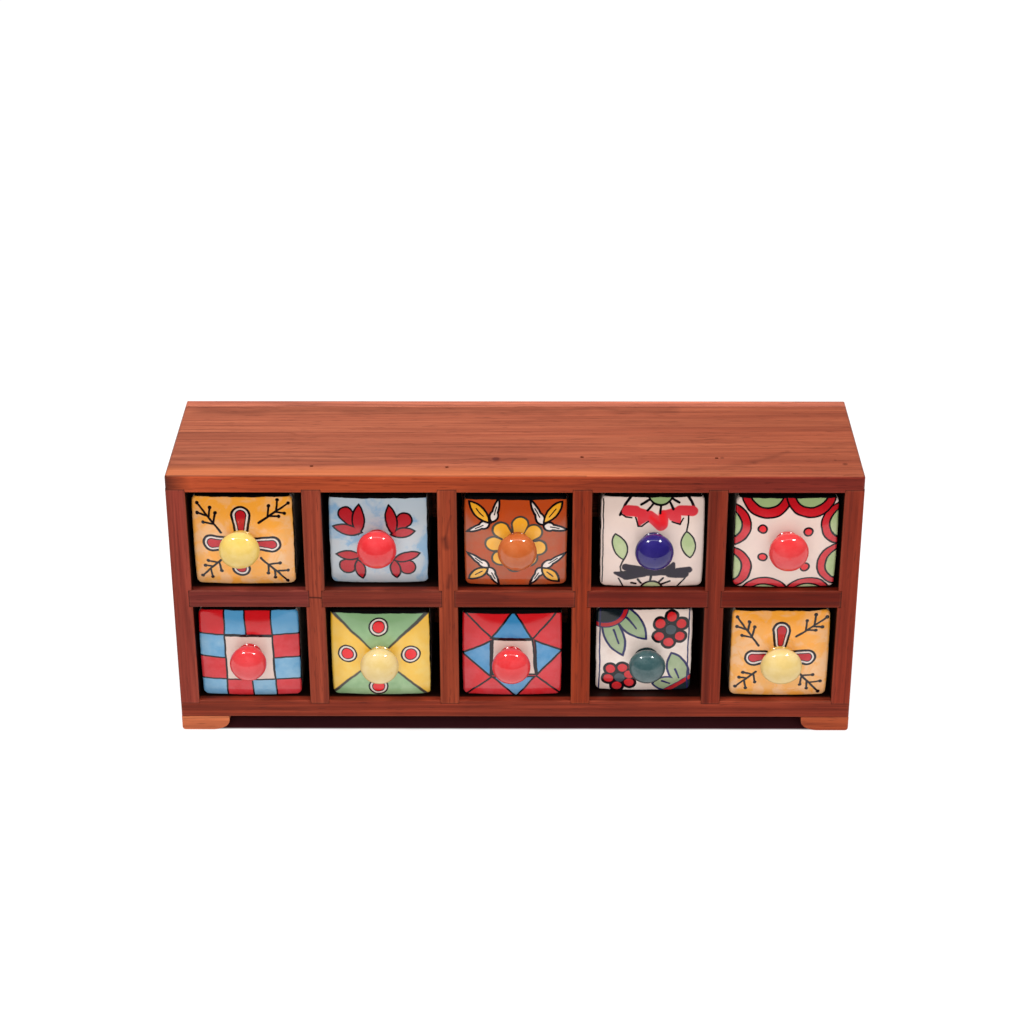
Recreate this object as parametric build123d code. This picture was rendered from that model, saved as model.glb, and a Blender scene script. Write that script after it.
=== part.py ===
from build123d import *

import os
from math import acos, degrees

# Tabletop chest of small drawers. Millimetres. X runs along the width, Y from the front to the back and Z up.
# The origin is on the floor, at the middle of the carcass.

# Carcass boards
chest_width = 394.0
chest_depth = 102.0
board_thickness = 11.0
back_thickness = 9.0
opening_height = 63.0
foot_height = 9.0
column_count = 5

# Joints between the boards
upright_housing = 2.0  # how far a side or a divider is let into the top and bottom boards
shelf_housing = 2.0  # how far each end of a shelf is let into its neighbours
glue_gap = 0.05

# Worn and rounded edges of the wood
top_edge_radius = 2.2
arris_radius = 0.8
seam_bevel = 0.4  # little V along the seam between the top board and the back board

# Feet: blocks under the corners, with a rounded toe at the inner end
foot_length = 28.0
foot_depth = 24.0
toe_length = 10.5
toe_height = 6.0
foot_corner_radius = 2.0

# Cut brads, square in section and tapered, set below the surface
brad_width = 1.6
brad_taper = 0.7  # degrees
brad_sink = 0.8
brad_clearance = 0.05
long_brad = 22.0
foot_brad = 15.0
top_brad_depth_shares = (0.127, 0.115, 0.256, 0.244)  # of the board's depth, divider by divider
bottom_brad_depth_shares = (0.33, 0.67)
foot_brad_length_shares = (0.25, 0.55)  # of the foot's length, from its outer end
side_brad_height_share = 0.5  # of the back board's height

# Drawers: a cast box behind a pillow-crowned front slab
drawer_side_gap = 3.5
drawer_top_gap = 4.5
drawer_running_gap = 0.2
drawer_end_room = 13.0  # free length of a pigeonhole behind and ahead of its drawer
front_thickness = 8.0
front_crown = 2.0
front_corner_radius = 4.0
front_edge_bevel = 1.4
box_set_in = 0.8  # step from the slab's edge to the side of the box
box_drop = 6.0  # the box's rim below the slab's top edge
box_wall = 4.5
box_floor = 5.0
box_corner_radius = 6.0
box_bottom_bevel = 2.0
cavity_corner_radius = 5.0
cavity_floor_bevel = 2.5
rim_bevel = 0.9

# Knobs: a ball on a short waisted neck, with a peg in the slab
knob_head_radius = 11.0
knob_head_half = 8.2  # half of the head's thickness along the axis
knob_shoulder_radius = 6.4  # rounding of the head round its widest ring
knob_neck_radius = 6.2
knob_base_radius = 7.4
knob_base_height = 1.0
knob_reach = 19.0  # from the seat to the front of the head
knob_seat_depth = 0.5
knob_peg_radius = 3.2
knob_peg_length = 4.0
knob_clearance = 0.08

# The drawers are hand made. One row each, upper drawers from left to right and then lower ones:
# width and height as shares of the nominal, place across the pigeonhole's play, place along its free length,
# and the knob's place from the middle of the front, to the right and up, as shares of the front's size.
drawer_shares = (
    (0.995, 0.990, -0.48, 0.46, -0.022, 0.010),
    (0.975, 0.985, -0.29, 0.58, -0.010, 0.005),
    (1.010, 0.995, 0.18, 0.38, 0.015, 0.000),
    (1.018, 1.012, 0.60, 0.27, 0.012, 0.006),
    (1.005, 1.008, 0.40, 0.23, 0.008, 0.014),
    (1.005, 1.008, -0.52, 0.34, 0.002, 0.008),
    (1.000, 0.998, -0.52, 0.38, -0.003, -0.023),
    (1.000, 0.995, -0.48, 0.38, -0.006, -0.020),
    (0.975, 0.965, -0.22, 0.80, 0.025, -0.065),
    (0.985, 1.004, 0.40, 0.38, -0.002, -0.020),
)
row_names = ("upper", "lower")

# Room for cutters to run past a face
overrun = 1.0

# Worked out from the sizes above
front_y = -chest_depth / 2
back_y = chest_depth / 2
body_back_y = back_y - back_thickness
body_depth = chest_depth - back_thickness
left_x = -chest_width / 2
column_pitch = (chest_width - board_thickness) / column_count
opening_width = column_pitch - board_thickness
bottom_top_z = foot_height + board_thickness
shelf_z = bottom_top_z + opening_height
shelf_top_z = shelf_z + board_thickness
top_under_z = shelf_top_z + opening_height
chest_height = top_under_z + board_thickness
upright_low_z = bottom_top_z - upright_housing
upright_high_z = top_under_z + upright_housing
drawer_width = opening_width - 2 * drawer_side_gap
drawer_height = opening_height - drawer_running_gap - drawer_top_gap
drawer_length = body_depth - drawer_end_room
knob_equator = knob_reach - knob_head_half


def upright_x(index):
    return left_x + board_thickness / 2 + index * column_pitch


def column_x(column):
    return (upright_x(column) + upright_x(column + 1)) / 2


def block(low, high):
    size = Vector(*high) - Vector(*low)
    return Pos(*low) * Box(*size, align=(Align.MIN, Align.MIN, Align.MIN))


def front_edges(solid, along):
    return solid.edges().filter_by(along).group_by(Axis.Y)[0]


def brad(length):
    # The head's top face is at the origin, and the shank points down.
    return extrude(Rectangle(brad_width, brad_width), amount=-length, taper=brad_taper)


def brad_bore(length):
    # Hole for a brad, from past the surface above its head down to its end
    width = brad_width + 2 * brad_clearance
    hole = extrude(Rectangle(width, width), amount=-(length + brad_clearance), taper=brad_taper)
    return hole + extrude(Rectangle(width, width), amount=brad_sink + overrun)


def top_brad_places():
    return [
        Pos(upright_x(divider + 1), front_y + share * body_depth, chest_height - brad_sink)
        for divider, share in enumerate(top_brad_depth_shares)
    ]


def bottom_brad_places():
    return [
        Pos(upright_x(index), front_y + share * body_depth, foot_height + brad_sink) * Rot(X=180)
        for index in range(column_count + 1)
        for share in bottom_brad_depth_shares
    ]


def back_brad_places():
    heights = (foot_height + board_thickness / 2, chest_height - board_thickness / 2)
    spots = [(column_x(column), z) for column in range(column_count) for z in heights]
    side_z = foot_height + side_brad_height_share * (chest_height - foot_height)
    spots += [(upright_x(0), side_z), (upright_x(column_count), side_z)]
    return [Pos(x, back_y - brad_sink, z) * Rot(X=-90) for x, z in spots]


def foot_brad_places():
    return [
        Pos(side * (chest_width / 2 - share * foot_length), end * (chest_depth - foot_depth) / 2, brad_sink)
        * Rot(X=180)
        for side in (-1, 1)
        for end in (-1, 1)
        for share in foot_brad_length_shares
    ]


def brad_groups():
    return {
        "top_brads": (long_brad, top_brad_places()),
        "bottom_brads": (long_brad, bottom_brad_places()),
        "back_brads": (long_brad, back_brad_places()),
        "foot_brads": (foot_brad, foot_brad_places()),
    }


def top_board():
    board = block((left_x, front_y, top_under_z), (-left_x, body_back_y, chest_height))
    rim = board.edges().group_by(Axis.Z)[-1]
    rear = rim.filter_by(Axis.X).sort_by(Axis.Y)[-1:]
    shown = [edge for edge in rim if edge not in rear] + front_edges(board, Axis.Z)
    board = fillet(shown, top_edge_radius)
    board = fillet(front_edges(board, Axis.X).sort_by(Axis.Z)[:1], arris_radius)
    seam = board.edges().filter_by(Axis.X).group_by(Axis.Y)[-1].sort_by(Axis.Z)[-1:]
    board = chamfer(seam, seam_bevel)
    return board - upright_housings(top_under_z - overrun, upright_high_z)


def bottom_board():
    board = block((left_x, front_y, foot_height), (-left_x, body_back_y, bottom_top_z))
    board = fillet(front_edges(board, Axis.X) + front_edges(board, Axis.Z), arris_radius)
    return board - upright_housings(upright_low_z, bottom_top_z + overrun)


def upright_housings(low_z, high_z):
    # Grooves for the dividers, and rebates at both ends for the sides
    half = board_thickness / 2 + glue_gap
    cuts = []
    for index in range(column_count + 1):
        low_x = upright_x(index) - (half + overrun if index == 0 else half)
        high_x = upright_x(index) + (half + overrun if index == column_count else half)
        cuts.append(block((low_x, front_y - overrun, low_z), (high_x, body_back_y + overrun, high_z)))
    return cuts


def upright(index):
    low_x = upright_x(index) - board_thickness / 2
    high_x = upright_x(index) + board_thickness / 2
    board = block((low_x, front_y, upright_low_z), (high_x, body_back_y, upright_high_z))
    board = fillet(front_edges(board, Axis.Z), arris_radius)
    low_z = shelf_z - glue_gap
    high_z = shelf_top_z + glue_gap
    ahead_y = front_y - overrun
    behind_y = body_back_y + overrun
    if index > 0:
        board -= block((low_x - overrun, ahead_y, low_z), (low_x + shelf_housing, behind_y, high_z))
    if index < column_count:
        board -= block((high_x - shelf_housing, ahead_y, low_z), (high_x + overrun, behind_y, high_z))
    return board


def shelf(column):
    half = opening_width / 2 + shelf_housing
    middle = column_x(column)
    board = block((middle - half, front_y, shelf_z), (middle + half, body_back_y, shelf_top_z))
    return fillet(front_edges(board, Axis.X), arris_radius)


def back_board():
    board = block((left_x, body_back_y, foot_height), (-left_x, back_y, chest_height))
    top_ends = board.edges().filter_by(Axis.Y).group_by(Axis.Z)[-1]
    rear = board.edges().group_by(Axis.Y)[-1]
    top_rear = rear.sort_by(Axis.Z)[-1:]
    board = fillet(top_ends + top_rear, top_edge_radius)
    seam = board.edges().filter_by(Axis.X).group_by(Axis.Y)[0].sort_by(Axis.Z)[-1:]
    return chamfer(seam, seam_bevel)


def foot(side, end):
    # Drawn as the front right one, then mirrored to its corner
    outer_x = chest_width / 2
    inner_x = outer_x - foot_length
    toe = EllipticalCenterArc((inner_x + toe_length, toe_height), toe_length, toe_height, start_angle=180)
    outline = toe + Polyline(toe @ 1, (outer_x, 0), (outer_x, foot_height), (inner_x, foot_height), toe @ 0)
    face = make_face(Plane.XZ.offset(-front_y) * outline)
    solid = extrude(face, amount=-foot_depth)
    corner = solid.edges().filter_by(Axis.Y).group_by(Axis.Z)[0].sort_by(Axis.X)[-1:]
    solid = fillet(corner, foot_corner_radius)
    if side < 0:
        solid = mirror(solid, about=Plane.YZ)
    if end > 0:
        solid = mirror(solid, about=Plane.XZ)
    return solid


def drawer_places():
    # Name, width, height, corner place and knob place of each drawer
    for number, shares in enumerate(drawer_shares):
        row, column = divmod(number, column_count)
        width_share, height_share, play_share, inset_share, knob_x_share, knob_z_share = shares
        width = drawer_width * width_share
        height = drawer_height * height_share
        x = column_x(column) + play_share * (opening_width - width) / 2
        inset = inset_share * drawer_end_room
        floor_z = (shelf_top_z, bottom_top_z)[row] + drawer_running_gap
        yield {
            "name": f"{row_names[row]}_drawer_{column + 1}",
            "width": width,
            "height": height,
            "inset": inset,
            "place": Pos(x, front_y + inset, floor_z),
            "knob_x": knob_x_share * width,
            "knob_z": height / 2 + knob_z_share * height,
        }


def crown_sphere(width, height):
    radius = (width * width / 4 + front_crown * front_crown) / (2 * front_crown)
    return Pos(0, radius - front_crown, height / 2) * Sphere(radius)


def front_slab(width, height):
    # The painted face's edge, halfway along each side, lies at y = 0; the crown stands out to the front.
    outline = Plane.XZ.offset(front_crown) * RectangleRounded(width, height, front_corner_radius)
    slab = Pos(0, 0, height / 2) * extrude(outline, amount=-(front_crown + front_thickness))
    slab = slab & crown_sphere(width, height)
    return chamfer(slab.faces().sort_by(Axis.Y)[0].edges(), front_edge_bevel)


def drawer_box(width, height):
    # Cast box with soft corners and bevelled rim and floor, half lapped behind the slab
    rim_z = height - box_drop
    start_y = front_thickness / 2
    length = drawer_length - start_y
    middle_y = start_y + length / 2
    outer_width = width - 2 * box_set_in
    solid = extrude(Pos(0, middle_y) * RectangleRounded(outer_width, length, box_corner_radius), amount=rim_z)
    solid = chamfer(solid.faces().sort_by(Axis.Z)[0].edges(), box_bottom_bevel)
    mouth = RectangleRounded(outer_width - 2 * box_wall, length - 2 * box_wall, cavity_corner_radius)
    cavity = extrude(Pos(0, middle_y, rim_z) * mouth, amount=box_floor - rim_z)
    solid -= chamfer(cavity.faces().sort_by(Axis.Z)[0].edges(), cavity_floor_bevel)
    return chamfer(solid.faces().sort_by(Axis.Z)[-1].edges(), rim_bevel)


def knob_seat_y():
    return knob_seat_depth - front_crown


def knob_seat(drawer):
    # Flat seat for the knob's base, and the socket for its peg
    mouth = Plane.XZ.offset(-knob_seat_y()) * Circle(knob_base_radius + knob_clearance)
    socket = Plane.XZ.offset(-knob_seat_y()) * Circle(knob_peg_radius + knob_clearance)
    cut = extrude(mouth, amount=front_crown + overrun)
    cut += extrude(socket, amount=-(knob_peg_length + knob_clearance))
    return Pos(drawer["knob_x"], 0, drawer["knob_z"]) * cut


def tray(drawer):
    solid = front_slab(drawer["width"], drawer["height"]) + drawer_box(drawer["width"], drawer["height"])
    return drawer["place"] * (solid - knob_seat(drawer))


def knob(drawer):
    # Half outline: radius across, distance ahead of the seat up. The head is a flat dome on a round shoulder.
    ring = knob_head_radius - knob_shoulder_radius
    flatness = knob_head_half - knob_shoulder_radius
    dome = (ring**2 + knob_head_half**2 - knob_shoulder_radius**2) / (2 * flatness)
    lean = degrees(acos(ring / (dome - knob_shoulder_radius)))
    start = -degrees(acos((knob_neck_radius - ring) / knob_shoulder_radius))
    shoulder = CenterArc((ring, knob_equator), knob_shoulder_radius, start, lean - start)
    cap = CenterArc((0, knob_reach - dome), dome, lean, 90 - lean)
    waist = (knob_base_radius, knob_base_height)
    neck = TangentArc(shoulder @ 0, waist, tangent=(0, -1))
    peg = Polyline(
        (0, knob_reach),
        (0, -knob_peg_length),
        (knob_peg_radius, -knob_peg_length),
        (knob_peg_radius, 0),
        (knob_base_radius, 0),
        waist,
    )
    solid = revolve(make_face(neck + shoulder + cap + peg), Axis.Y)
    seat = Pos(drawer["knob_x"], knob_seat_y(), drawer["knob_z"]) * Rot(X=180)
    return drawer["place"] * seat * solid


def wood_boards():
    boards = {
        "top_board": top_board(),
        "bottom_board": bottom_board(),
        "left_side": upright(0),
        "right_side": upright(column_count),
        "back_board": back_board(),
    }
    for divider in range(1, column_count):
        boards[f"divider_{divider}"] = upright(divider)
    for column in range(column_count):
        boards[f"shelf_{column + 1}"] = shelf(column)
    for end, end_name in ((-1, "front"), (1, "rear")):
        for side, side_name in ((-1, "left"), (1, "right")):
            boards[f"{end_name}_{side_name}_foot"] = foot(side, end)
    return boards


def main():
    groups = brad_groups()
    bores = [place * brad_bore(length) for length, places in groups.values() for place in places]
    nodes = {name: board - bores for name, board in wood_boards().items()}
    for name, (length, places) in groups.items():
        nodes[name] = Compound(children=[place * brad(length) for place in places])
    for drawer in drawer_places():
        nodes[drawer["name"] + "_tray"] = tray(drawer)
        nodes[drawer["name"] + "_knob"] = knob(drawer)
    os.makedirs("parts", exist_ok=True)
    for name, solid in nodes.items():
        export_step(solid, f"parts/{name}.step")


if __name__ == "__main__":
    main()
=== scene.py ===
# Tabletop chest of drawers: oiled sheesham carcass, hand-painted glazed earthenware drawers.
import math
from functools import partial, reduce
from itertools import combinations

import bmesh
import bpy
from mathutils import Matrix, Vector, noise


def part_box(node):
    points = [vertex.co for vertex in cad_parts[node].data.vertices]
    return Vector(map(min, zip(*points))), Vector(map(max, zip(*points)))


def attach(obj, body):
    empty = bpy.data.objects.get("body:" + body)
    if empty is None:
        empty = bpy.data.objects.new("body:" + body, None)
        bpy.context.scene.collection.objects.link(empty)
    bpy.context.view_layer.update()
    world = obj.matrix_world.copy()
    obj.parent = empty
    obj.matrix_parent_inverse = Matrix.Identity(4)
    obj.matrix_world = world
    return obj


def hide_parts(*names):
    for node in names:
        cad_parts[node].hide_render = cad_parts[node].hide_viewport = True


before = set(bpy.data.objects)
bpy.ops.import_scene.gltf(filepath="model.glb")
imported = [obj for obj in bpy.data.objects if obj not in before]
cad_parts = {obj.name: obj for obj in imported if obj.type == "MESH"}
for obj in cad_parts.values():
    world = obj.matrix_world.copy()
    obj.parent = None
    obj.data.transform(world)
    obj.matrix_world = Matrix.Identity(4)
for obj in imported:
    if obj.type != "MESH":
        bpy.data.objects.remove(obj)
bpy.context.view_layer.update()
mm = 0.001
perMetre = 1000.0
blend = {"output": 2, "data_type": "RGBA"}  # settings and output of a node that mixes two colours


def linearOf(hexText):
    # sRGB hex to the linear values that Blender's sockets hold, by the standard curve
    levels = [int(hexText[place : place + 2], 16) / 255 for place in (1, 3, 5)]
    return tuple(s / 12.92 if s <= 0.04045 else ((s + 0.055) / 1.055) ** 2.4 for s in levels) + (1.0,)


def addNode(tree, kind, links, output=0, **settings):
    # One node with its settings, its fixed values and its links, listed in the order of its sockets or given
    # by socket; a hex colour is turned to linear. Gives back one of the node's outputs
    node = tree.nodes.new("ShaderNode" + kind)
    for name, value in settings.items():
        setattr(node, name, value)
    for socket, value in links.items() if isinstance(links, dict) else enumerate(links):
        if isinstance(value, bpy.types.NodeSocket):
            tree.links.new(value, node.inputs[socket])
        else:
            node.inputs[socket].default_value = linearOf(value) if isinstance(value, str) else value
    return node.outputs[output] if node.outputs else None


def newMaterial(name, shaderValues):
    # Material with one Principled shader, whose fixed values are set on its own sockets. Gives back the
    # material, addNode for its tree, and the shader
    material = bpy.data.materials.new(name)
    material.use_nodes = True
    tree = material.node_tree
    tree.nodes.clear()
    surface = addNode(tree, "BsdfPrincipled", shaderValues)
    addNode(tree, "OutputMaterial", {"Surface": surface})
    return material, partial(addNode, tree), surface.node


def finishLook(shader, colour, relief=None, strength=0.0, reliefMm=0.0):
    # Brings the colour and, where there is one, the relief to the shader
    tree = shader.id_data
    tree.links.new(colour, shader.inputs["Base Color"])
    if relief:
        bump = addNode(tree, "Bump", {"Strength": strength, "Distance": reliefMm * mm, "Height": relief})
        tree.links.new(bump, shader.inputs["Normal"])


def spotMm(add, origin=(0, 0, 0)):
    # Place on the object at rest in mm, counted from an origin in metres
    place = add("TexCoord", {}, output="Object")
    offset = add("VectorMath", [place, origin], operation="SUBTRACT")
    return add("VectorMath", {0: offset, 3: perMetre}, operation="SCALE")


def merged(add, values, operation):
    # One value from many, taken in two at a time
    return reduce(lambda whole, value: add("Math", [whole, value], operation=operation), values)


def newPiece(name, mesh, materials, body, slotName):
    piece = bpy.data.objects.new(name, mesh)
    bpy.context.scene.collection.objects.link(piece)
    for material in materials:
        mesh.materials.append(material)
    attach(piece, body)
    return piece


# Camera, fitted to the photo's own corners
cameraView = {
    "place": (7.224, -1264.565, 767.197),  # mm
    "pitch": 27.143,  # degrees below level
    "yaw": -0.411,
    "roll": 0.128,
    "lens": 84.82,
    "sensor": 36.0,
    "clip": (0.01, 50.0),  # metres
}


def makeCamera(look):
    pitch, yaw, roll = (math.radians(look[key]) for key in ("pitch", "yaw", "roll"))
    ahead = Vector((math.sin(yaw) * math.cos(pitch), math.cos(yaw) * math.cos(pitch), -math.sin(pitch)))
    right = Vector((math.cos(yaw), -math.sin(yaw), 0))
    down = ahead.cross(right)
    across = math.cos(roll) * right + math.sin(roll) * down
    below = math.cos(roll) * down - math.sin(roll) * right
    data = bpy.data.cameras.new("camera")
    data.lens = look["lens"]
    data.sensor_width = look["sensor"]
    data.clip_start, data.clip_end = look["clip"]
    camera = bpy.data.objects.new("camera", data)
    turn = Matrix((across, -below, -ahead)).transposed().to_4x4()
    camera.matrix_world = Matrix.Translation(Vector(look["place"]) * mm) @ turn
    bpy.context.scene.collection.objects.link(camera)
    bpy.context.scene.camera = camera


makeCamera(cameraView)
print("camera set")

# Studio: white sweep that glows except under the chest, where a painted shadow darkens it, two overhead
# softboxes with a dim strip between them, and broad fills. Sizes in metres where no unit stands
studio = {
    "floorHalf": 6.0,
    "floorColour": "#7c7c7c",
    "floorRoughness": 0.9,
    # painted shadow: the floor's colour in the gap below the chest, where its glow is also faded out
    "paintedShadowColour": "#54222a",  # floor in the gap below the chest
    "floorGlow": 0.86,
    "floorDropMm": 0.1,  # how far the paper lies below the feet
    "underSoftMm": 2.0,  # over which the glow fades at the chest's outline
    "flag": {"y": -0.36, "halfWidth": 1.6, "height": 0.9},  # black card ahead, seen in the glaze alone
    "worldColour": "#8f8d8c",
    "worldStrength": 0.55,
    "target": (0.0, 0.0, 0.08),  # where the lights point
    "lights": {
        "keyLeft": {"place": (-0.85, -0.32, 1.62), "size": (0.44, 0.26), "power": 17.0, "glossy": True},
        "keyRight": {"place": (0.85, -0.32, 1.62), "size": (0.44, 0.26), "power": 15.0, "glossy": True},
        "keyBridge": {"place": (0.0, -0.32, 1.62), "size": (1.3, 0.2), "power": 3.0, "glossy": True},
        "overhead": {"place": (0.0, 0.25, 2.0), "size": (2.2, 1.6), "power": 13.0, "glossy": False},
        "frontFill": {"place": (0.0, -2.2, 1.15), "size": (2.6, 1.6), "power": 30.0, "glossy": False},
        "backFill": {"place": (0.0, 2.2, 1.2), "size": (2.4, 1.2), "power": 16.0, "glossy": False},
    },
}


def stageSheet(name, corners, material):
    mesh = bpy.data.meshes.new(name)
    mesh.from_pydata(corners, [], [tuple(range(len(corners)))])
    mesh.materials.append(material)
    sheet = bpy.data.objects.new(name, mesh)
    bpy.context.scene.collection.objects.link(sheet)
    return sheet


def whitePaper(look, outline):
    # Matt white paper: bright and shadowless in the open; in the gap below the chest a painted shadow, dark
    # and unlit
    values = {"Roughness": look["floorRoughness"], "Emission Color": "#ffffff"}
    material, add, shader = newMaterial("mattWhitePaper", values)
    tree = shader.id_data
    place = add("TexCoord", {}, output="Object")
    side = add("VectorMath", [place], operation="ABSOLUTE")
    past = add("VectorMath", [side, (outline[1].x, -outline[0].y, 0)], operation="SUBTRACT")
    pastX, pastY = add("SeparateXYZ", [past]).node.outputs[:2]
    outside = add("Math", [pastX, pastY], operation="MAXIMUM")
    soft = look["underSoftMm"] * mm
    # painted shadow: under the chest the glow fades out and the colour turns dark
    glow = add("MapRange", [outside, -soft, 0.0, 0.0, look["floorGlow"]])
    tree.links.new(glow, shader.inputs["Emission Strength"])
    finishLook(shader, add("Mix", {0: glow, 6: look["paintedShadowColour"], 7: look["floorColour"]}, **blend))
    # seen from below, the paper is left out, so that the chest's underside shows
    back = add("NewGeometry", {}, output="Backfacing")
    clear = add("BsdfTransparent", {})
    oneSided = add("MixShader", [back, shader.outputs[0], clear])
    tree.links.new(oneSided, tree.nodes["Material Output"].inputs["Surface"])
    return material


def makeStudio(look, outline):
    half, level = look["floorHalf"], -look["floorDropMm"] * mm
    corners = [(-half, -half, level), (half, -half, level), (half, half, level), (-half, half, level)]
    stageSheet("floor", corners, whitePaper(look, outline))
    # Black velvet: keeps the bright floor out of the upper part of the glazed fronts
    dull = {"Base Color": "#000000", "Roughness": 1.0, "Specular IOR Level": 0.0}
    velvet = newMaterial("blackVelvet", dull)[0]
    y, wide, tall = (look["flag"][key] for key in ("y", "halfWidth", "height"))
    card = stageSheet("flag", [(-wide, y, 0), (wide, y, 0), (wide, y, tall), (-wide, y, tall)], velvet)
    card.visible_camera = card.visible_diffuse = card.visible_shadow = False
    world = bpy.data.worlds.new("studioWorld")
    world.use_nodes = True
    backdrop = world.node_tree.nodes["Background"]
    backdrop.inputs["Color"].default_value = linearOf(look["worldColour"])
    backdrop.inputs["Strength"].default_value = look["worldStrength"]
    bpy.context.scene.world = world
    for name, lamp in look["lights"].items():
        data = bpy.data.lights.new(name, "AREA")
        data.shape = "RECTANGLE"
        data.size, data.size_y = lamp["size"]
        data.energy = lamp["power"]
        light = bpy.data.objects.new(name, data)
        light.location = lamp["place"]
        light.rotation_mode = "QUATERNION"
        light.rotation_quaternion = (Vector(look["target"]) - light.location).to_track_quat("-Z", "Y")
        light.visible_glossy = lamp["glossy"]
        bpy.context.scene.collection.objects.link(light)
    bpy.context.scene.view_settings.view_transform = "Standard"


makeStudio(studio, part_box("bottom_board"))
print("studio set")

# Sheesham (Indian rosewood), planed, stained and oiled: red-brown ground with darker growth bands, pale
# sapwood streaks, open pores drawn out along the grain, a satin sheen, paler edges that are partly rubbed
# wear and partly painted highlight, and near-black painted shade inside the pigeonholes
sheeshamLook = {
    "roughness": 0.46,
    "ior": 1.5,
    "sheen": 0.1,  # the oil has sunk in, so less gloss than bare lacquer
    "sapShare": (1.35, 1.6, 1.55, 1.0),  # a sapwood streak against the stain, in red, green and blue
    "heartShare": (0.43, 0.41, 0.46, 1.0),  # the same for the dark figure
    # each figure's width across the grain in mm, how it is squeezed along the grain, and its noise
    "figures": {
        "streak": (8.0, 0.02, {"Detail": 6.0, "Roughness": 0.62}),  # between heartwood and sapwood
        "band": (46.0, 0.055, {"Detail": 3.0, "Distortion": 0.4}),  # growth bands
        "fibre": (1.8, 0.022, {"Detail": 3.0, "Roughness": 0.6}),  # bundles of fibres, fine streaks here
        "pore": (0.75, 0.075, {"Detail": 1.0}),  # really about 0.3 mm; wider, so that they show from here
        "vein": (17.0, 0.03, {"Detail": 4.0, "Distortion": 0.6}),  # dark hairlines that come and go
    },
    "bandCount": 5.0,  # growth bands in one figure
    "veinStep": 0.25,  # of the noise's height from one hairline to the next
    # where each figure starts and ends in its noise, and how strong it is there
    "layers": {
        "streak": (0.36, 0.66, 0.0, 1.0),
        "band": (-0.3, 1.0, 0.0, 0.44),
        "fibre": (0.36, 0.68, 0.0, 0.74),
        "pore": (0.62, 0.74, 0.0, 0.45),
        "vein": (0.006, 0.03, 0.42, 0.0),
    },
    "poreColour": "#3a1712",
    "veinColour": "#3f1715",
    "seedTurn": (7, 13, 5),  # how a board's seed moves its figure
    # paler arrises, partly rubbed wear and partly painted highlight
    "rub": (0.2, 1.4, 0.12, 0.0),  # paler rubbed arris: from and to how many mm, and how strong there
    "rubColour": "#c98562",
    "joint": (0.21, 0.7, 0.7, 0.0),  # the same for the dark line where one board meets another
    "jointColour": "#260e0b",
    # painted shade inside the pigeonholes: near black from a little behind the boards' front edges, deeper in
    # where the light reaches in
    "paintedShadeColour": "#120806",
    "paintedShadeAmount": 0.96,
    "paintedShadeMm": (0.8, 1.8),  # depth behind the front edge over which the dark inside starts
    "paintedShadeOpenMm": {"shelf": (4.2, 5.4), "bottom": (4.0, 5.6)},  # the same where the light reaches in
    "skinMm": 1.0,  # the outer faces of the chest keep their colour
    "bump": (0.35, 0.12),  # strength, and height in mm
}
grainAlong = {"x": (1, 0, 0), "z": (0, 0, 1)}
# stain of each board, strength of its dark figure, its grain, and a seed that moves the figure
boardTones = {
    "top_board": ("#9a5239", 0.7, "x", 3.1),
    "back_board": ("#ad5a42", 1.0, "x", 9.4),
    "bottom_board": ("#86311e", 1.0, "x", 17.7),
    "left_side": ("#8c372a", 1.0, "z", 23.2),
    "right_side": ("#933420", 1.0, "z", 31.9),
    "divider_1": ("#8d3825", 1.0, "z", 41.3),
    "divider_2": ("#943b22", 1.0, "z", 52.8),
    "divider_3": ("#882d14", 1.0, "z", 63.5),
    "divider_4": ("#7e2a18", 1.0, "z", 74.6),
    "shelf_1": ("#752c25", 1.0, "x", 85.1),
    "shelf_2": ("#772c1f", 1.0, "x", 96.4),
    "shelf_3": ("#762617", 1.0, "x", 107.2),
    "shelf_4": ("#7e2618", 1.0, "x", 118.9),
    "shelf_5": ("#752011", 1.0, "x", 129.3),
    "front_left_foot": ("#d36f46", 0.9, "x", 141.7),
    "front_right_foot": ("#a04527", 0.9, "x", 152.3),
    "rear_left_foot": ("#b05c40", 0.9, "x", 163.8),
    "rear_right_foot": ("#a8573c", 0.9, "x", 174.5),
}
uprights = ("left_side", "right_side", "divider_")
hollowBoards = uprights + ("shelf_", "bottom_board", "top_board")  # those that the pigeonholes lie between


def woodFigures(add, board, look, grain):
    # The noise of each figure, drawn out along the grain
    levels = {}
    for figure, (width, squeeze, settings) in look["figures"].items():
        along = tuple(squeeze if part else 1.0 for part in grainAlong[grain])
        drawnOut = add("VectorMath", [board, along], operation="MULTIPLY")
        levels[figure] = add("TexNoise", {"Vector": drawnOut, "Scale": 1 / width, **settings})
    # growth bands are contour lines of their noise, and hairlines lie at even steps of theirs
    turns = add("Math", [levels["band"], look["bandCount"] * 2 * math.pi], operation="MULTIPLY")
    levels["band"] = add("Math", [turns], operation="SINE")
    levels["vein"] = add("Math", [levels["vein"], look["veinStep"]], operation="PINGPONG")
    return levels


def edgeWearAndHighlightMask(add, spot, node, look):
    # Paler arrises, partly rubbed wear and partly painted highlight: where the two nearest faces of the
    # board's box are both close
    low, high = (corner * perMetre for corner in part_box(node))
    fromCentre = add("VectorMath", [spot, (low + high) / 2], operation="SUBTRACT")
    side = add("VectorMath", [fromCentre], operation="ABSOLUTE")
    inward = add("VectorMath", [(high - low) / 2, side], operation="SUBTRACT")
    near = add("SeparateXYZ", [inward]).node.outputs
    pairs = [add("Math", [a, b], operation="MAXIMUM") for a, b in combinations(near, 2)]
    edge = merged(add, pairs, "MINIMUM")
    return add("MapRange", [edge, *look["rub"]])


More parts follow.
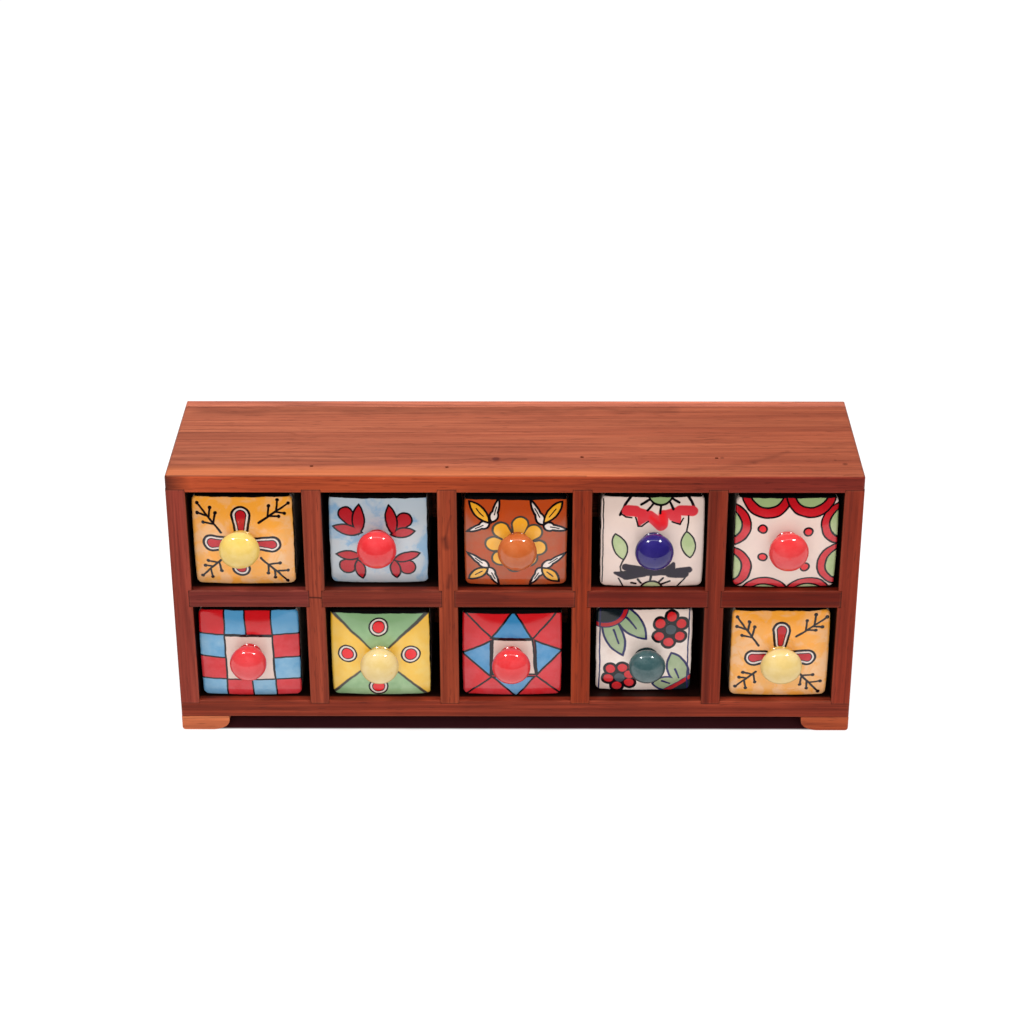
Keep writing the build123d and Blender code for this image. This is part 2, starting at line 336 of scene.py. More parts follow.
def jointMasks(add, spot, node, look):
    # Dark lines where a board's seen face ends against the next board
    low, high = (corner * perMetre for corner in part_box(node))
    joints = []
    if node.startswith(uprights):
        joints = [((0, 0, 1), low.z), ((0, 0, 1), high.z)]
    elif node.startswith("shelf_"):
        joints = [((1, 0, 0), low.x), ((1, 0, 0), high.x)]
    elif node == "top_board":
        joints = [((0, 1, 0), high.y)]
    for across, level in joints:
        away = add("VectorMath", [spot, across], output=1, operation="DOT_PRODUCT")
        away = add("Math", [away, level], operation="SUBTRACT")
        away = add("Math", [away], operation="ABSOLUTE")
        yield add("MapRange", [away, *look["joint"]])


def hollowShadeMask(add, spot, node, look):
    # Painted shade inside the pigeonholes: behind the boards' front edges and within the chest's outer faces
    low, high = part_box("bottom_board")[0] * perMetre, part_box("top_board")[1] * perMetre
    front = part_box("left_side")[0].y * perMetre
    start, end = look["paintedShadeOpenMm"].get(node.split("_")[0], look["paintedShadeMm"])
    depth = add("SeparateXYZ", [spot], output=1)
    inner = add("MapRange", [depth, front + start, front + end, 0.0, look["paintedShadeAmount"]])
    offHeart = add("VectorMath", [spot, (0, 0, (low.z + high.z) / 2)], operation="SUBTRACT")
    side = add("VectorMath", [offHeart], operation="ABSOLUTE")
    sideX, sideY, sideZ = add("SeparateXYZ", [side]).node.outputs
    for away, reach in ((sideX, high.x), (sideZ, (high.z - low.z) / 2)):
        inside = add("Math", [away, reach - look["skinMm"]], operation="LESS_THAN")
        inner = add("Math", [inner, inside], operation="MULTIPLY")
    return inner


def sheesham(node, look, tones):
    stain, figure, grain, seed = tones
    middle = linearOf(stain)
    light = tuple(tone * share for tone, share in zip(middle, look["sapShare"]))
    dark = tuple(tone * (1 - (1 - share) * figure) for tone, share in zip(middle, look["heartShare"]))
    values = {"Roughness": look["roughness"], "IOR": look["ior"], "Specular IOR Level": look["sheen"]}
    material, add, shader = newMaterial("oiledSheesham_" + node, values)
    spot = spotMm(add)
    shift = tuple(seed * turn for turn in look["seedTurn"])
    board = add("VectorMath", [spot, shift], operation="ADD")
    levels = woodFigures(add, board, look, grain)
    masks = {}
    for layer, strengths in look["layers"].items():
        masks[layer] = add("MapRange", [levels[layer], *strengths])
    masks["vein"] = add("Math", [masks["vein"], masks["streak"]], operation="MULTIPLY")
    # paler arrises: rubbed wear and painted highlight, broken up by the streak noise
    rub = add("Math", [edgeWearAndHighlightMask(add, spot, node, look), levels["streak"]], operation="MULTIPLY")
    coats = [(masks["streak"], light), (masks["band"], dark), (masks["fibre"], dark)]
    coats += [(masks["pore"], look["poreColour"]), (masks["vein"], look["veinColour"])]
    coats += [(rub, look["rubColour"])]
    coats += [(line, look["jointColour"]) for line in jointMasks(add, spot, node, look)]
    colour = middle
    for mask, shade in coats:
        colour = add("Mix", {0: mask, 6: colour, 7: shade}, **blend)
    for mark in boardMarks.get(node, ()):
        colour = drawMark(add, spot, colour, mark)
    # painted shade inside the pigeonholes
    if node.startswith(hollowBoards):
        mask = hollowShadeMask(add, spot, node, look)
        colour = add("Mix", {0: mask, 6: colour, 7: look["paintedShadeColour"]}, **blend)
    relief = add("Math", [levels["fibre"], masks["pore"]], operation="SUBTRACT")
    finishLook(shader, colour, relief, *look["bump"])
    return material


def nailPlaces():
    # Middle of each brad in the top board, over its divider (mm)
    heads = [vert.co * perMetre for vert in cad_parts["top_brads"].data.vertices]
    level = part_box("top_board")[1].z * perMetre
    for board in boardTones:
        if board.startswith("divider_"):
            low, high = (corner.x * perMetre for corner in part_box(board))
            depths = [head.y for head in heads if low < head.x < high]
            yield (low + high) / 2, sum(depths) / len(depths), level


markLook = {
    "dotEdge": (0.6, 1.2),  # of the radius: full and gone
    "lineEdge": 0.85,  # of the width: gone
    "strayMm": 16.6667,  # size of a line's wanderings
    "wedgeMm": 33.3333,  # the same for the wedge
    "wedgeStray": 0.6,  # of the wedge's width
    "wedgeSoftMm": (-6.0, 2.5),  # full and gone, counted from the wedge's edge
    "wedgeRunOutMm": 110,  # length over which it runs out
    "wedgeTopMm": (1.2, 0.2),  # below the top face: gone and full
    "tintTopMm": (1.2, 0.4),  # below the top face, where one face's tint passes into the other's
}
# which coordinates count for a line drawn on that face
frontPlane, topPlane, everyPlane = (1, 0, 1), (1, 1, 0), (1, 1, 1)
planeStray = {frontPlane: (2.5, 0, 2.5), topPlane: (14, 14, 0), everyPlane: (0, 0, 0)}  # mm off the line


def darkLine(plane, start, end, width, amount=0.7, colour="#35120f"):
    line = {"kind": "line", "plane": plane, "from": start, "to": end, "width": width}
    return {**line, "amount": amount, "colour": colour}


def darkDot(place, radius, amount=0.85, colour="#4a2118"):
    return {"kind": "dot", "place": place, "radius": radius, "amount": amount, "colour": colour}


# how a board's face deepens from left to right: place in mm, and share of the stain
topTints = [(-190, "#f6f2fa"), (30, "#fbf1f4"), (150, "#ecdcda")]
frontTints = [(-196, "#826969"), (-182, "#ffc5a3"), (0, "#e9ae87"), (130, "#b17580")]
backTints = [(-190, "#eff9ff"), (190, "#eff9ff")]
sapwood = {"colour": "#cb7244", "amount": 0.46}
# Marks on single boards: tints, a pale sapwood edge, dark streaks, a knot, nail filler, hairline checks (mm)
boardMarks = {
    "top_board": [
        {"kind": "tint", "plane": topPlane, "gain": 1.0, "stops": topTints},
        {"kind": "tint", "plane": frontPlane, "gain": 1.22, "stops": frontTints},
        {"kind": "wedge", "from": -197, "to": 150, "front": -51, "width": 12.5, **sapwood},
        darkLine(topPlane, (-185, 36, 0), (90, 37, 0), 9.0, 0.28),
        darkDot((-10.7, -29.8, 168), 2.6, 0.75, "#4a1e1c"),
        darkLine(everyPlane, (-197, -50.7, 167.5), (40, -50.7, 167.5), 1.1, 0.6),
        darkLine(topPlane, (-24, -31, 0), (8, -29.4, 0), 1.6, 0.3),
        darkLine(topPlane, (100, -46, 0), (136, -34, 0), 4.5, 0.22),
        darkLine(topPlane, (136, -34, 0), (158, -20, 0), 4.5, 0.26),
        darkLine(topPlane, (158, -20, 0), (186, -15, 0), 4.0, 0.16),
        darkDot((118, -28, 168), 1.3, 0.5),
        darkDot((187, -36, 168), 1.6, 0.6),
        darkDot((182, -31, 168), 1.0, 0.5),
    ]
    + [darkDot(place, 1.4, 0.3) for place in nailPlaces()],
    "back_board": [{"kind": "tint", "plane": topPlane, "gain": 1.4, "stops": backTints}],
    "divider_1": [darkLine(frontPlane, (-127, 0, 90.3), (-103, 0, 88.5), 0.9, 0.9, "#240d0a")],
    "divider_2": [
        darkLine(frontPlane, (-36.0, 0, 142.5), (-39.6, 0, 127.6), 1.3, 0.4),
        darkLine(frontPlane, (-39.6, 0, 127.6), (-38.6, 0, 122.6), 3.4, 0.6),
        darkLine(frontPlane, (-37.6, 0, 104), (-38.3, 0, 96.6), 2.2, 0.5),
    ],
    "divider_3": [darkLine(frontPlane, (33.8, 0, 112), (36.2, 0, 60), 1.1, 0.4)],
}


def dotMask(add, spot, mark, look):
    away = add("VectorMath", [spot, mark["place"]], output=1, operation="DISTANCE")
    full, gone = (mark["radius"] * share for share in look["dotEdge"])
    return add("MapRange", [away, full, gone, mark["amount"], 0.0])


def wedgeMask(add, spot, mark, look):
    # pale band along the front edge of the top, running out to nothing
    x, y, z = add("SeparateXYZ", [spot]).node.outputs
    start, end, width = mark["from"], mark["to"], mark["width"]
    stray = width * look["wedgeStray"]
    taper = add("MapRange", [x, start, end, width, width / 2])
    wander = add("TexNoise", {"Vector": spot, "Scale": 1 / look["wedgeMm"], "Detail": 3.0})
    taper = add("Math", [wander, stray, taper], operation="MULTIPLY_ADD")
    limit = add("Math", [taper, mark["front"] - stray / 2], operation="ADD")
    past = add("Math", [y, limit], operation="SUBTRACT")
    full, gone = look["wedgeSoftMm"]
    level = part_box("top_board")[1].z * perMetre
    lower, upper = (level - below for below in look["wedgeTopMm"])
    masks = [
        add("MapRange", [past, full, gone, mark["amount"], 0.0]),
        add("MapRange", [x, end - look["wedgeRunOutMm"], end, 1.0, 0.0]),
        add("MapRange", [z, lower, upper]),
    ]
    return merged(add, masks, "MULTIPLY")


def strokeAxis(add, fromStart, run):
    # Share of the way along a straight stroke, and distance from the stroke's middle line
    part = [fromStart, run / run.length_squared]
    along = add("VectorMath", part, output=1, operation="DOT_PRODUCT")
    share = add("Math", [along, 0.0], operation="ADD", use_clamp=True)
    axis = add("VectorMath", {0: run, 3: share}, operation="SCALE")
    return share, add("VectorMath", [fromStart, axis], output=1, operation="DISTANCE")


def lineMask(add, spot, mark, look):
    start, stray = Vector(mark["from"]), Vector(planeStray[mark["plane"]])
    wander = add("TexNoise", {"Vector": spot, "Scale": 1 / look["strayMm"], "Detail": 1.0}, output=1)
    wander = add("VectorMath", [wander, stray, spot], operation="MULTIPLY_ADD")
    fromStart = add("VectorMath", [wander, start + stray / 2], operation="SUBTRACT")
    flat = add("VectorMath", [fromStart, mark["plane"]], operation="MULTIPLY")
    share, away = strokeAxis(add, flat, Vector(mark["to"]) - start)
    return add("MapRange", [away, 0.0, mark["width"] * look["lineEdge"], mark["amount"], 0.0])


def tinted(add, spot, colour, mark, look):
    # Deepens one face of a board from its left to its right end
    x, y, z = add("SeparateXYZ", [spot]).node.outputs
    places, hexTexts = zip(*mark["stops"])
    tint, *others = [tuple(mark["gain"] * part for part in linearOf(hexText)) for hexText in hexTexts]
    for start, end, after in zip(places, places[1:], others):
        share = add("MapRange", [x, start, end])
        tint = add("Mix", {0: share, 6: tint, 7: after}, **blend)
    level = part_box("top_board")[1].z * perMetre
    lower, upper = (level - below for below in look["tintTopMm"])
    onTop = float(mark["plane"] == topPlane)
    mask = add("MapRange", [z, lower, upper, 1.0 - onTop, onTop])
    return add("Mix", {0: mask, 6: colour, 7: tint}, blend_type="MULTIPLY", **blend)


markMasks = {"dot": dotMask, "wedge": wedgeMask, "line": lineMask}


def drawMark(add, spot, colour, mark):
    if mark["kind"] == "tint":
        return tinted(add, spot, colour, mark, markLook)
    mask = markMasks[mark["kind"]](add, spot, mark, markLook)
    return add("Mix", {0: mask, 6: colour, 7: mark["colour"]}, **blend)


def dress(node, material):
    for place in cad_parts[node].material_slots:
        place.material = material


for boardName, boardTone in boardTones.items():
    dress(boardName, sheesham(boardName, sheeshamLook, boardTone))
print("carcass:", len(boardTones), "boards in sheesham")

# Mild-steel brads, punched below the surface: dull grey with brown rust bloom
bradLook = {"steel": "#8a7568", "rust": "#6b4030", "grainMm": 0.8, "bloom": (0.4, 0.6), "roughness": 0.55}


def mildSteel(look):
    values = {"Metallic": 1.0, "Roughness": look["roughness"]}
    material, add, shader = newMaterial("mildSteelBrad", values)
    bloom = add("TexNoise", {"Vector": spotMm(add), "Scale": 1 / look["grainMm"], "Detail": 4.0})
    mask = add("MapRange", [bloom, *look["bloom"]])
    finishLook(shader, add("Mix", {0: mask, 6: look["steel"], 7: look["rust"]}, **blend))
    return material


steel = mildSteel(bradLook)
for bradNode in ("top_brads", "bottom_brads", "back_brads", "foot_brads"):
    dress(bradNode, steel)
print("brads: mild steel")

# Glazes and underglaze paints: a darker and a paler wash of each colour; the darker one also serves as
# painted shade towards the top of each face
paints = {
    "cream": ("#e2cabd", "#dac4ba"),
    "white": ("#decdc4", "#e6d9d2"),
    "ink": ("#0b090d", "#17121a"),
    "amber": ("#f8a332", "#e9ab60"),
    "petalRed": ("#b50f1a", "#c2343e"),
    "skyBlue": ("#5d9bc9", "#7dabcb"),
    "budRed": ("#b3131b", "#bb323c"),
    "terracotta": ("#bb4512", "#a85a3c"),
    "daisyYellow": ("#eea41e", "#eeb450"),
    "leafWhite": ("#e0cec4", "#eee2db"),
    "paleGreen": ("#98ad74", "#b7bf92"),
    "poppyRed": ("#d02f38", "#d9525a"),
    "plum": ("#0b0114", "#170320"),
    "scallopRed": ("#b80c18", "#cf3e46"),
    "checkRed": ("#c70d15", "#d2434b"),
    "checkBlue": ("#4b93c0", "#86b1cc"),
    "quarterGreen": ("#83a978", "#a0c092"),
    "quarterYellow": ("#f0b830", "#ecc564"),
    "brushGrey": ("#35342f", "#55524a"),
    "starRed": ("#cf131a", "#d03f47"),
    "starBlue": ("#2f84b8", "#689cc5"),
    "tealDark": ("#0b1418", "#2f3d44"),
    "ringRed": ("#b3161d", "#cf3a3c"),
    "blossomRed": ("#d21318", "#e23c42"),
    "blossomGrey": ("#39444c", "#525d64"),
    "leafGreen": ("#8fa67c", "#b4c09b"),
    "navy": ("#1d1b4a", "#34326a"),
    "black": ("#0c0a0b", "#171415"),
    "paleSky": ("#b6c2ca", "#c0c3c7"),
    "peach": ("#eeb47c", "#edc6a3"),
    "milk": ("#e9d2c5", "#fcece2"),
    "brightRed": ("#e3141a", "#e8343a"),
}
brushLook = {
    "softMm": 0.14,  # edge of a brushed shape
    "run": {"Detail": 5.0, "Roughness": 0.6, "Distortion": 0.8},  # noise of a second wash that has run
    "runEdge": (0.62, 0.74),  # where that wash starts and is full in its noise
}


def mixPaint(canvas, colour, mask=1.0):
    add = canvas["add"]
    dark, light = paints[colour]
    tone = add("Mix", {0: canvas["wash"], 6: dark, 7: light}, **blend)
    canvas["colour"] = add("Mix", {0: mask, 6: canvas["colour"], 7: tone}, **blend)


def mottle(canvas, colour, sizeMm, share, amount):
    # Patches where a second wash of another colour has run into the first
    cloud = canvas["add"]("TexNoise", {"Vector": canvas["spot"], "Scale": 1 / sizeMm, **brushLook["run"]})
    start, full = (edge - share for edge in brushLook["runEdge"])
    mixPaint(canvas, colour, canvas["add"]("MapRange", [cloud, start, full, 0.0, amount]))


def paintIn(canvas, shape, colour, soft=brushLook["softMm"]):
    # Fills the inside of a shape, given as a distance in mm that is below zero inside
    mixPaint(canvas, colour, canvas["add"]("MapRange", [shape, -soft, soft, 1.0, 0.0]))


def grown(canvas, shape, by):
    return canvas["add"]("Math", [shape, by], operation="SUBTRACT")


def lined(canvas, shape, width):
    # The brushed line along a shape's edge
    away = canvas["add"]("Math", [shape], operation="ABSOLUTE")
    return grown(canvas, away, width / 2)


def outlined(canvas, shape, colour, width, edge="ink"):
    # A filled shape with a brushed line round it
    paintIn(canvas, shape, colour)
    paintIn(canvas, lined(canvas, shape, width), edge)


def layered(canvas, shape, coats):
    # The same shape painted again and again, each time grown by so many mm and in another colour
    for by, colour in coats:
        paintIn(canvas, grown(canvas, shape, by), colour)


def joined(canvas, shapes, operation="MINIMUM"):
    return merged(canvas["add"], shapes, operation)


def each(canvas, brush, rows, *shared):
    # One shape of many, drawn with the same brush from a list of rows
    return joined(canvas, (brush(canvas, *row, *shared) for row in rows))


def disc(canvas, centre, radius):
    ends = [canvas["spot"], (*centre, 1)]
    away = canvas["add"]("VectorMath", ends, output=1, operation="DISTANCE")
    return grown(canvas, away, radius)


def stroke(canvas, start, end, startRadius, endRadius=None):
    # One pull of a round brush that may press harder at one end
    add = canvas["add"]
    endRadius = startRadius if endRadius is None else endRadius
    run = Vector((end[0] - start[0], end[1] - start[1], 0))
    fromStart = add("VectorMath", [canvas["spot"], (*start, 1)], operation="SUBTRACT")
    share, away = strokeAxis(add, fromStart, run)
    away = add("Math", [share, startRadius - endRadius, away], operation="MULTIPLY_ADD")
    return grown(canvas, away, startRadius)


def leaf(canvas, start, end, width):
    # Pointed leaf: where two equal circles overlap
    a, b = Vector(start), Vector(end)
    radius = ((b - a).length ** 2 + width**2) / (4 * width)
    middle = (a + b) / 2
    side = Vector((a.y - b.y, b.x - a.x)).normalized() * (radius - width / 2)
    both = [disc(canvas, middle + side, radius), disc(canvas, middle - side, radius)]
    return joined(canvas, both, "MAXIMUM")


def straight(canvas, start, end):
    # Distance in mm from the line through two points, above zero on its right-hand side
    a, b = Vector(start), Vector(end)
    run = (b - a).normalized()
    right = Vector((run.y, -run.x))
    across = [canvas["spot"], (right.x, right.y, -right.dot(a))]
    return canvas["add"]("VectorMath", across, output=1, operation="DOT_PRODUCT")


def facet(canvas, corners):
    # Straight-sided patch with its corners given anticlockwise
    pairs = zip(corners, corners[1:] + corners[:1])
    return joined(canvas, (straight(canvas, a, b) for a, b in pairs), "MAXIMUM")


def between(start, end, share):
    return Vector(start).lerp(Vector(end), share)


def legs(lines):
    # The straight legs of lines that turn corners
    return [leg for line in lines for leg in zip(line, line[1:])]


# Amber front: four ringed petals round the knob and a berried twig in each corner
amberTwigs = {
    "petals": [
        ((-1, 8), (-1, 17.0), 4.3, 5.7),
        ((-9, -0.4), (-18.1, -0.6), 4.3, 5.7),
        ((7, -0.6), (16.0, -1.5), 4.1, 5.4),
        ((-2.5, -10), (-2.2, -17.0), 4.3, 5.5),
    ],
    "rings": [(0.0, "ink"), (-1.45, "white"), (-2.4, "ink"), (-3.0, "petalRed")],
    "twigs": [
        ((-12.5, 6.5), (-25.5, 24), [(-18.5, 21.5), (-15.5, 18.5), (-25.5, 18), (-22.5, 12.5)]),
        ((9, 12.5), (26.5, 24), [(15, 22.5), (20, 26), (20.5, 16), (24, 18)]),
        ((-13.5, -11.5), (-25, -22.5), [(-21, -12.5), (-23, -16), (-19, -23.5), (-13.5, -19)]),
        ((9.5, -10), (24, -26), [(20, -14), (24.5, -19), (13, -20.5), (17, -23.5)]),
    ],
    "berry": 1.12,
    "twig": 0.64,
    "stem": (0.736, 0.576),  # the middle stem's brush at its foot and at its tip
    "forkBack": 0.2,  # of the stem: how far below its berry a side twig leaves it
    "forkFirst": 0.08,  # of the stem: the lowest fork
    "peach": (10.0, 0.16, 0.55),  # size of the patches in mm, how many, how strong
}
# the other amber front has three shorter petals
shortPetals = [
    ((0, 8), (0.3, 16.3), 4.3, 5.6),
    ((-9, -0.8), (-15.2, -1.9), 4.3, 5.6),
    ((7, -0.6), (16.0, -1.5), 4.1, 5.4),
]


def paintAmberTwigs(canvas, look):
    mixPaint(canvas, "amber")
    mottle(canvas, "peach", *look["peach"])
    layered(canvas, each(canvas, stroke, look["petals"]), look["rings"])

    def twigShapes():
        for start, end, berries in look["twigs"]:
            run = Vector(end) - Vector(start)
            yield stroke(canvas, start, end, *look["stem"])
            yield disc(canvas, end, look["berry"])
            for berry in berries:
                along = (Vector(berry) - Vector(start)).dot(run) / run.length_squared
                fork = between(start, end, max(along - look["forkBack"], look["forkFirst"]))
                yield stroke(canvas, fork, berry, look["twig"])
                yield disc(canvas, berry, look["berry"])

    paintIn(canvas, joined(canvas, twigShapes()), "ink")


# Pale blue front: a red bud with two pointed petals in each corner
blueBuds = {
    "rounds": [
        ((-18.6, 17), (-13.4, 11.4), 4.3, 3.4),
        ((14.8, 13.4), (10, 8.8), 4.4, 3.2),
        ((-18.4, -16.6), (-13.6, -12.9), 4.5, 3.4),
        ((16.3, -17.2), (12.4, -14), 4.6, 3.4),
    ],
    "points": [
        ((-11.1, 23), (-11.4, 4.6), 6.8),
        ((-26, 8.8), (-9.4, 5.8), 6.2),
        ((6.1, 22.5), (9, 4.6), 6.4),
        ((21, 6.2), (7.2, 4.8), 6.0),
        ((-24.8, -9), (-9.8, -9.6), 5.6),
        ((-9.7, -24.8), (-12.3, -12), 6.0),
        ((23.4, -8.2), (8.2, -12), 6.0),
        ((10, -24.4), (8.4, -12), 6.0),
    ],
    "line": 1.05,
    "splotch": (17.0, 0.13, 0.7),
}


def paintBlueBuds(canvas, look):
    mixPaint(canvas, "paleSky")
    mottle(canvas, "skyBlue", *look["splotch"])
    for brush, petals in ((stroke, "rounds"), (leaf, "points")):
        outlined(canvas, each(canvas, brush, look[petals]), "budRed", look["line"])


# Terracotta front: a yellow daisy round the knob, a yellow leaf between two white ones in each corner
terracottaDaisy = {
    "middle": (0.6, -1.6),
    "petals": [
        *((2.4, 12.0), (-8.2, 8.6), (10.2, 7.2), (-12.4, -0.4)),
        *((12.8, -2.8), (-8.6, -9.4), (7.6, -9.8), (-0.4, -13.6)),
    ],
    "petalStart": 0.5,  # of the way from the middle to the petal's tip
    "petalRadius": (3.0, 4.8),
    "leaves": {
        "leafWhite": [
            ((-9.4, 27.4), (-13.6, 13.4), 5.0),
            ((-27.4, 6.6), (-14.8, 13.0), 4.8),
            ((8.4, 26.8), (15.6, 11.8), 5.0),
            ((29.0, 7.4), (15.8, 11.2), 5.0),
            ((-27.6, -7.0), (-15.4, -16.0), 4.6),
            ((-9.9, -28.0), (-15.8, -16.2), 4.8),
            ((28.5, -7.6), (15.2, -16.0), 4.8),
            ((8.2, -27.6), (15.4, -16.2), 4.8),
        ],
        "daisyYellow": [
            ((-26.3, 25.4), (-15.2, 13.0), 6.2),
            ((26.4, 25.1), (16.0, 12.6), 6.2),
            ((-26.8, -24.3), (-16.0, -16.6), 5.8),
            ((24.7, -26.2), (15.2, -16.2), 6.0),
        ],
    },
    # a leaf is a tip on a fuller body: the tip's share of the width, and where the body starts along it
    "leafForm": {"leafWhite": (0.66, 0.5), "daisyYellow": (1.0, 0.0)},
    "line": 1.3,
    "vein": 0.36,
    "veinShare": (0.35, 0.7),  # of the leaf: where its vein starts and ends
}


def paintTerracottaDaisy(canvas, look):
    mixPaint(canvas, "terracotta")
    petals = [(between(look["middle"], tip, look["petalStart"]), tip) for tip in look["petals"]]
    daisy = each(canvas, stroke, petals, *look["petalRadius"])
    outlined(canvas, daisy, "daisyYellow", look["line"], "brushGrey")
    first, last = look["veinShare"]
    for colour, leaves in look["leaves"].items():
        slim, body = look["leafForm"][colour]
        rows = [(tip, base, width * slim) for tip, base, width in leaves]
        if body:
            rows += [(between(tip, base, body), base, width) for tip, base, width in leaves]
        outlined(canvas, each(canvas, leaf, rows), colour, look["line"])
        veins = [(between(tip, base, first), between(tip, base, last)) for tip, base, width in leaves]
        paintIn(canvas, each(canvas, stroke, veins, look["vein"]), "ink")


# Cream front: half a poppy at the top, half a plum flower at the bottom, a leaf at each side
halfFlowers = {
    "poppy": [
        ((-14.5, 20.5), (-9.7, 20.6), 3.3, 3.2),
        ((-10.4, 20.3), (-2.1, 17.9), 3.0, 3.0),
        ((-5.5, 16.9), (-7.8, 12.5), 3.8, 0.9),
        ((-2.1, 17.9), (4.4, 12.1), 3.2, 3.6),
        ((6.3, 18.5), (5.3, 12.3), 2.9, 3.2),
        ((6.3, 18.5), (15.4, 20.5), 2.7, 2.7),
        ((12.7, 17.5), (15.6, 13.3), 3.8, 0.9),
        ((15.1, 20.9), (22.5, 20.0), 3.0, 3.3),
    ],
    "thick": [((5.4, 18.6), (5.8, 13.4), 2.0, 2.4), ((-0.8, 16.6), (3.6, 12.4), 1.2, 1.8)],  # thick red
    "plum": [
        ((-14.7, -15.5), (-6.7, -17.8), 1.9, 2.8),
        ((-20.5, -19.7), (-14.2, -21.1), 0.6, 2.9),
        ((-14.2, -21.1), (-4.7, -19.5), 2.9, 2.2),
        ((-6.7, -18.3), (8.8, -18.7), 2.6, 2.0),
        ((12.5, -12.9), (10.3, -18.1), 0.7, 3.4),
        ((10.8, -19.3), (18.8, -20.3), 2.8, 2.5),
        ((14.9, -18.5), (21.3, -17.5), 2.2, 1.7),
    ],
    "full": 0.45,  # mm that the plum brush spreads
    "petalSoft": 0.3,
    "thickSoft": 1.2,
    "side": ((-28.0, 27.0), (-28.0, -26.0), 0.35),
    "eyes": [((4.3, 31.0), 6.8), ((0.4, -31.2), 6.4)],
    "eyeLine": 1.3,
    "rays": [
        ((-1.8, 27.6), (-6.7, 24.6)),
        ((-0.3, 24.6), (-3.2, 21.1)),
        ((4.5, 23.6), (4.3, 19.3)),
        ((9.8, 25.6), (11.5, 21.6)),
        ((10.9, 28.1), (14.8, 25.6)),
        ((-7.6, -23.8), (-5.8, -26.3)),
        ((-0.3, -21.2), (-0.8, -24.8)),
        ((6.7, -23.0), (4.7, -25.6)),
        ((10.6, -25.1), (6.0, -27.1)),
        ((-11.3, -26.3), (-8.9, -26.8)),
    ],
    "ray": 0.72,
    "arcs": [[(-11.6, 31.0), (-16.0, 24.2), (-18.6, 18.1)], [(18.7, 30.5), (21.7, 26.2), (23.3, 22.3)]],
    "arc": 0.85,
    "leaves": [((19.3, 7.3), (21.9, -9.4), 8.0), ((-20.9, 6.0), (-15.8, -10.3), 8.0)],
    "leafLine": 1.0,
    "stems": [
        [(-18.4, 18.8), (-15.3, 16.8), (-11.8, 16.5)],
        [(-9.6, 16.6), (-8.5, 11.4), (-6.5, 11.4), (-2.7, 14.2)],
        [(11.0, 14.2), (15.8, 12.0), (17.4, 15.8)],
        [(20.4, 17.2), (20.4, 12.8), (19.3, 7.3)],
        [(-15.8, -10.1), (-18.0, -15.4), (-17.3, -18.4), (-14.5, -19.5)],
        [(-18.9, -23.2), (-16.2, -28.8)],
        [(19.7, -23.2), (14.9, -28.8)],
    ],
    "stem": 0.5,
}


def paintHalfFlowers(canvas, look):
    mixPaint(canvas, "cream")
    paintIn(canvas, each(canvas, stroke, legs(look["arcs"]), look["arc"]), "ink")
    paintIn(canvas, each(canvas, stroke, look["poppy"]), "poppyRed", look["petalSoft"])
    paintIn(canvas, each(canvas, stroke, look["thick"]), "brightRed", look["thickSoft"])
    plum = grown(canvas, each(canvas, stroke, look["plum"]), look["full"])
    paintIn(canvas, plum, "plum", look["petalSoft"])
    paintIn(canvas, stroke(canvas, *look["side"]), "ink")
    outlined(canvas, each(canvas, disc, look["eyes"]), "paleGreen", look["eyeLine"])
    paintIn(canvas, each(canvas, stroke, look["rays"], look["ray"]), "ink")
    outlined(canvas, each(canvas, leaf, look["leaves"]), "paleGreen", look["leafLine"])
    paintIn(canvas, each(canvas, stroke, legs(look["stems"]), look["stem"]), "ink")


# Cream front with a red scalloped border, pale green behind it, and four red spots
scallops = {
    # outer circle's centre and radius, inner circle's centre and radius
    "arcs": [
        ((-33.5, 11.5), 13.3, (-35.6, 11.5), 10.1),
        ((-32.5, -16), 13.3, (-34.7, -16), 10.1),
        ((32.8, 12.5), 13.3, (34.4, 12.5), 10.1),
        ((31.6, -13.5), 13.3, (33.1, -13.5), 10.1),
        ((-11, -36.5), 14.6, (-11, -38), 11.3),
        ((13.8, -36.8), 14.6, (13.8, -38), 11.6),
        ((-11.5, 31), 14.3, (-11.5, 32.5), 9.8),
        ((13.3, 31.2), 14.1, (13.3, 32.6), 9.7),
    ],
    "spots": [((-13.8, 9.8), 2.5), ((12.4, 8.1), 2.5), ((-13, -8.2), 2.5), ((11.4, -14.7), 2.5)],
    "line": 1.1,
}


def paintScallops(canvas, look):
    mixPaint(canvas, "cream")
    for centre, radius, innerCentre, innerRadius in look["arcs"]:
        outlined(canvas, disc(canvas, centre, radius), "scallopRed", look["line"])
        outlined(canvas, disc(canvas, innerCentre, innerRadius), "paleGreen", look["line"])
    outlined(canvas, each(canvas, disc, look["spots"]), "blossomRed", look["line"])


# Red and blue checks round a cream square
checks = {
    "uprights": [((-14.4, -30), (-14.2, 30)), ((1.2, -30), (-2.4, 30)), ((14.4, -30), (13.0, 30))],
    "levels": [((-30, 13.4), (30, 13.2)), ((-30, -1.6), (30, -2.4)), ((-30, -16.8), (30, -17.2))],
    "square": [(-14.2, -17.0), (13.8, -17.2), (13.4, 12.4), (-14.2, 12.6)],
    "line": 1.0,
}


def paintChecks(canvas, look):
    add = canvas["add"]
    mixPaint(canvas, "checkBlue")
    lines = [straight(canvas, *ends) for ends in look["uprights"] + look["levels"]]
    # red where a spot lies to the left of an even number of lines
    sides = joined(canvas, [add("Math", [line], operation="SIGN") for line in lines], "MULTIPLY")
    mixPaint(canvas, "checkRed", add("Math", [sides, 0.0], operation="GREATER_THAN"))
    paintIn(canvas, joined(canvas, [lined(canvas, line, look["line"]) for line in lines]), "ink")
    outlined(canvas, facet(canvas, look["square"]), "cream", look["line"])


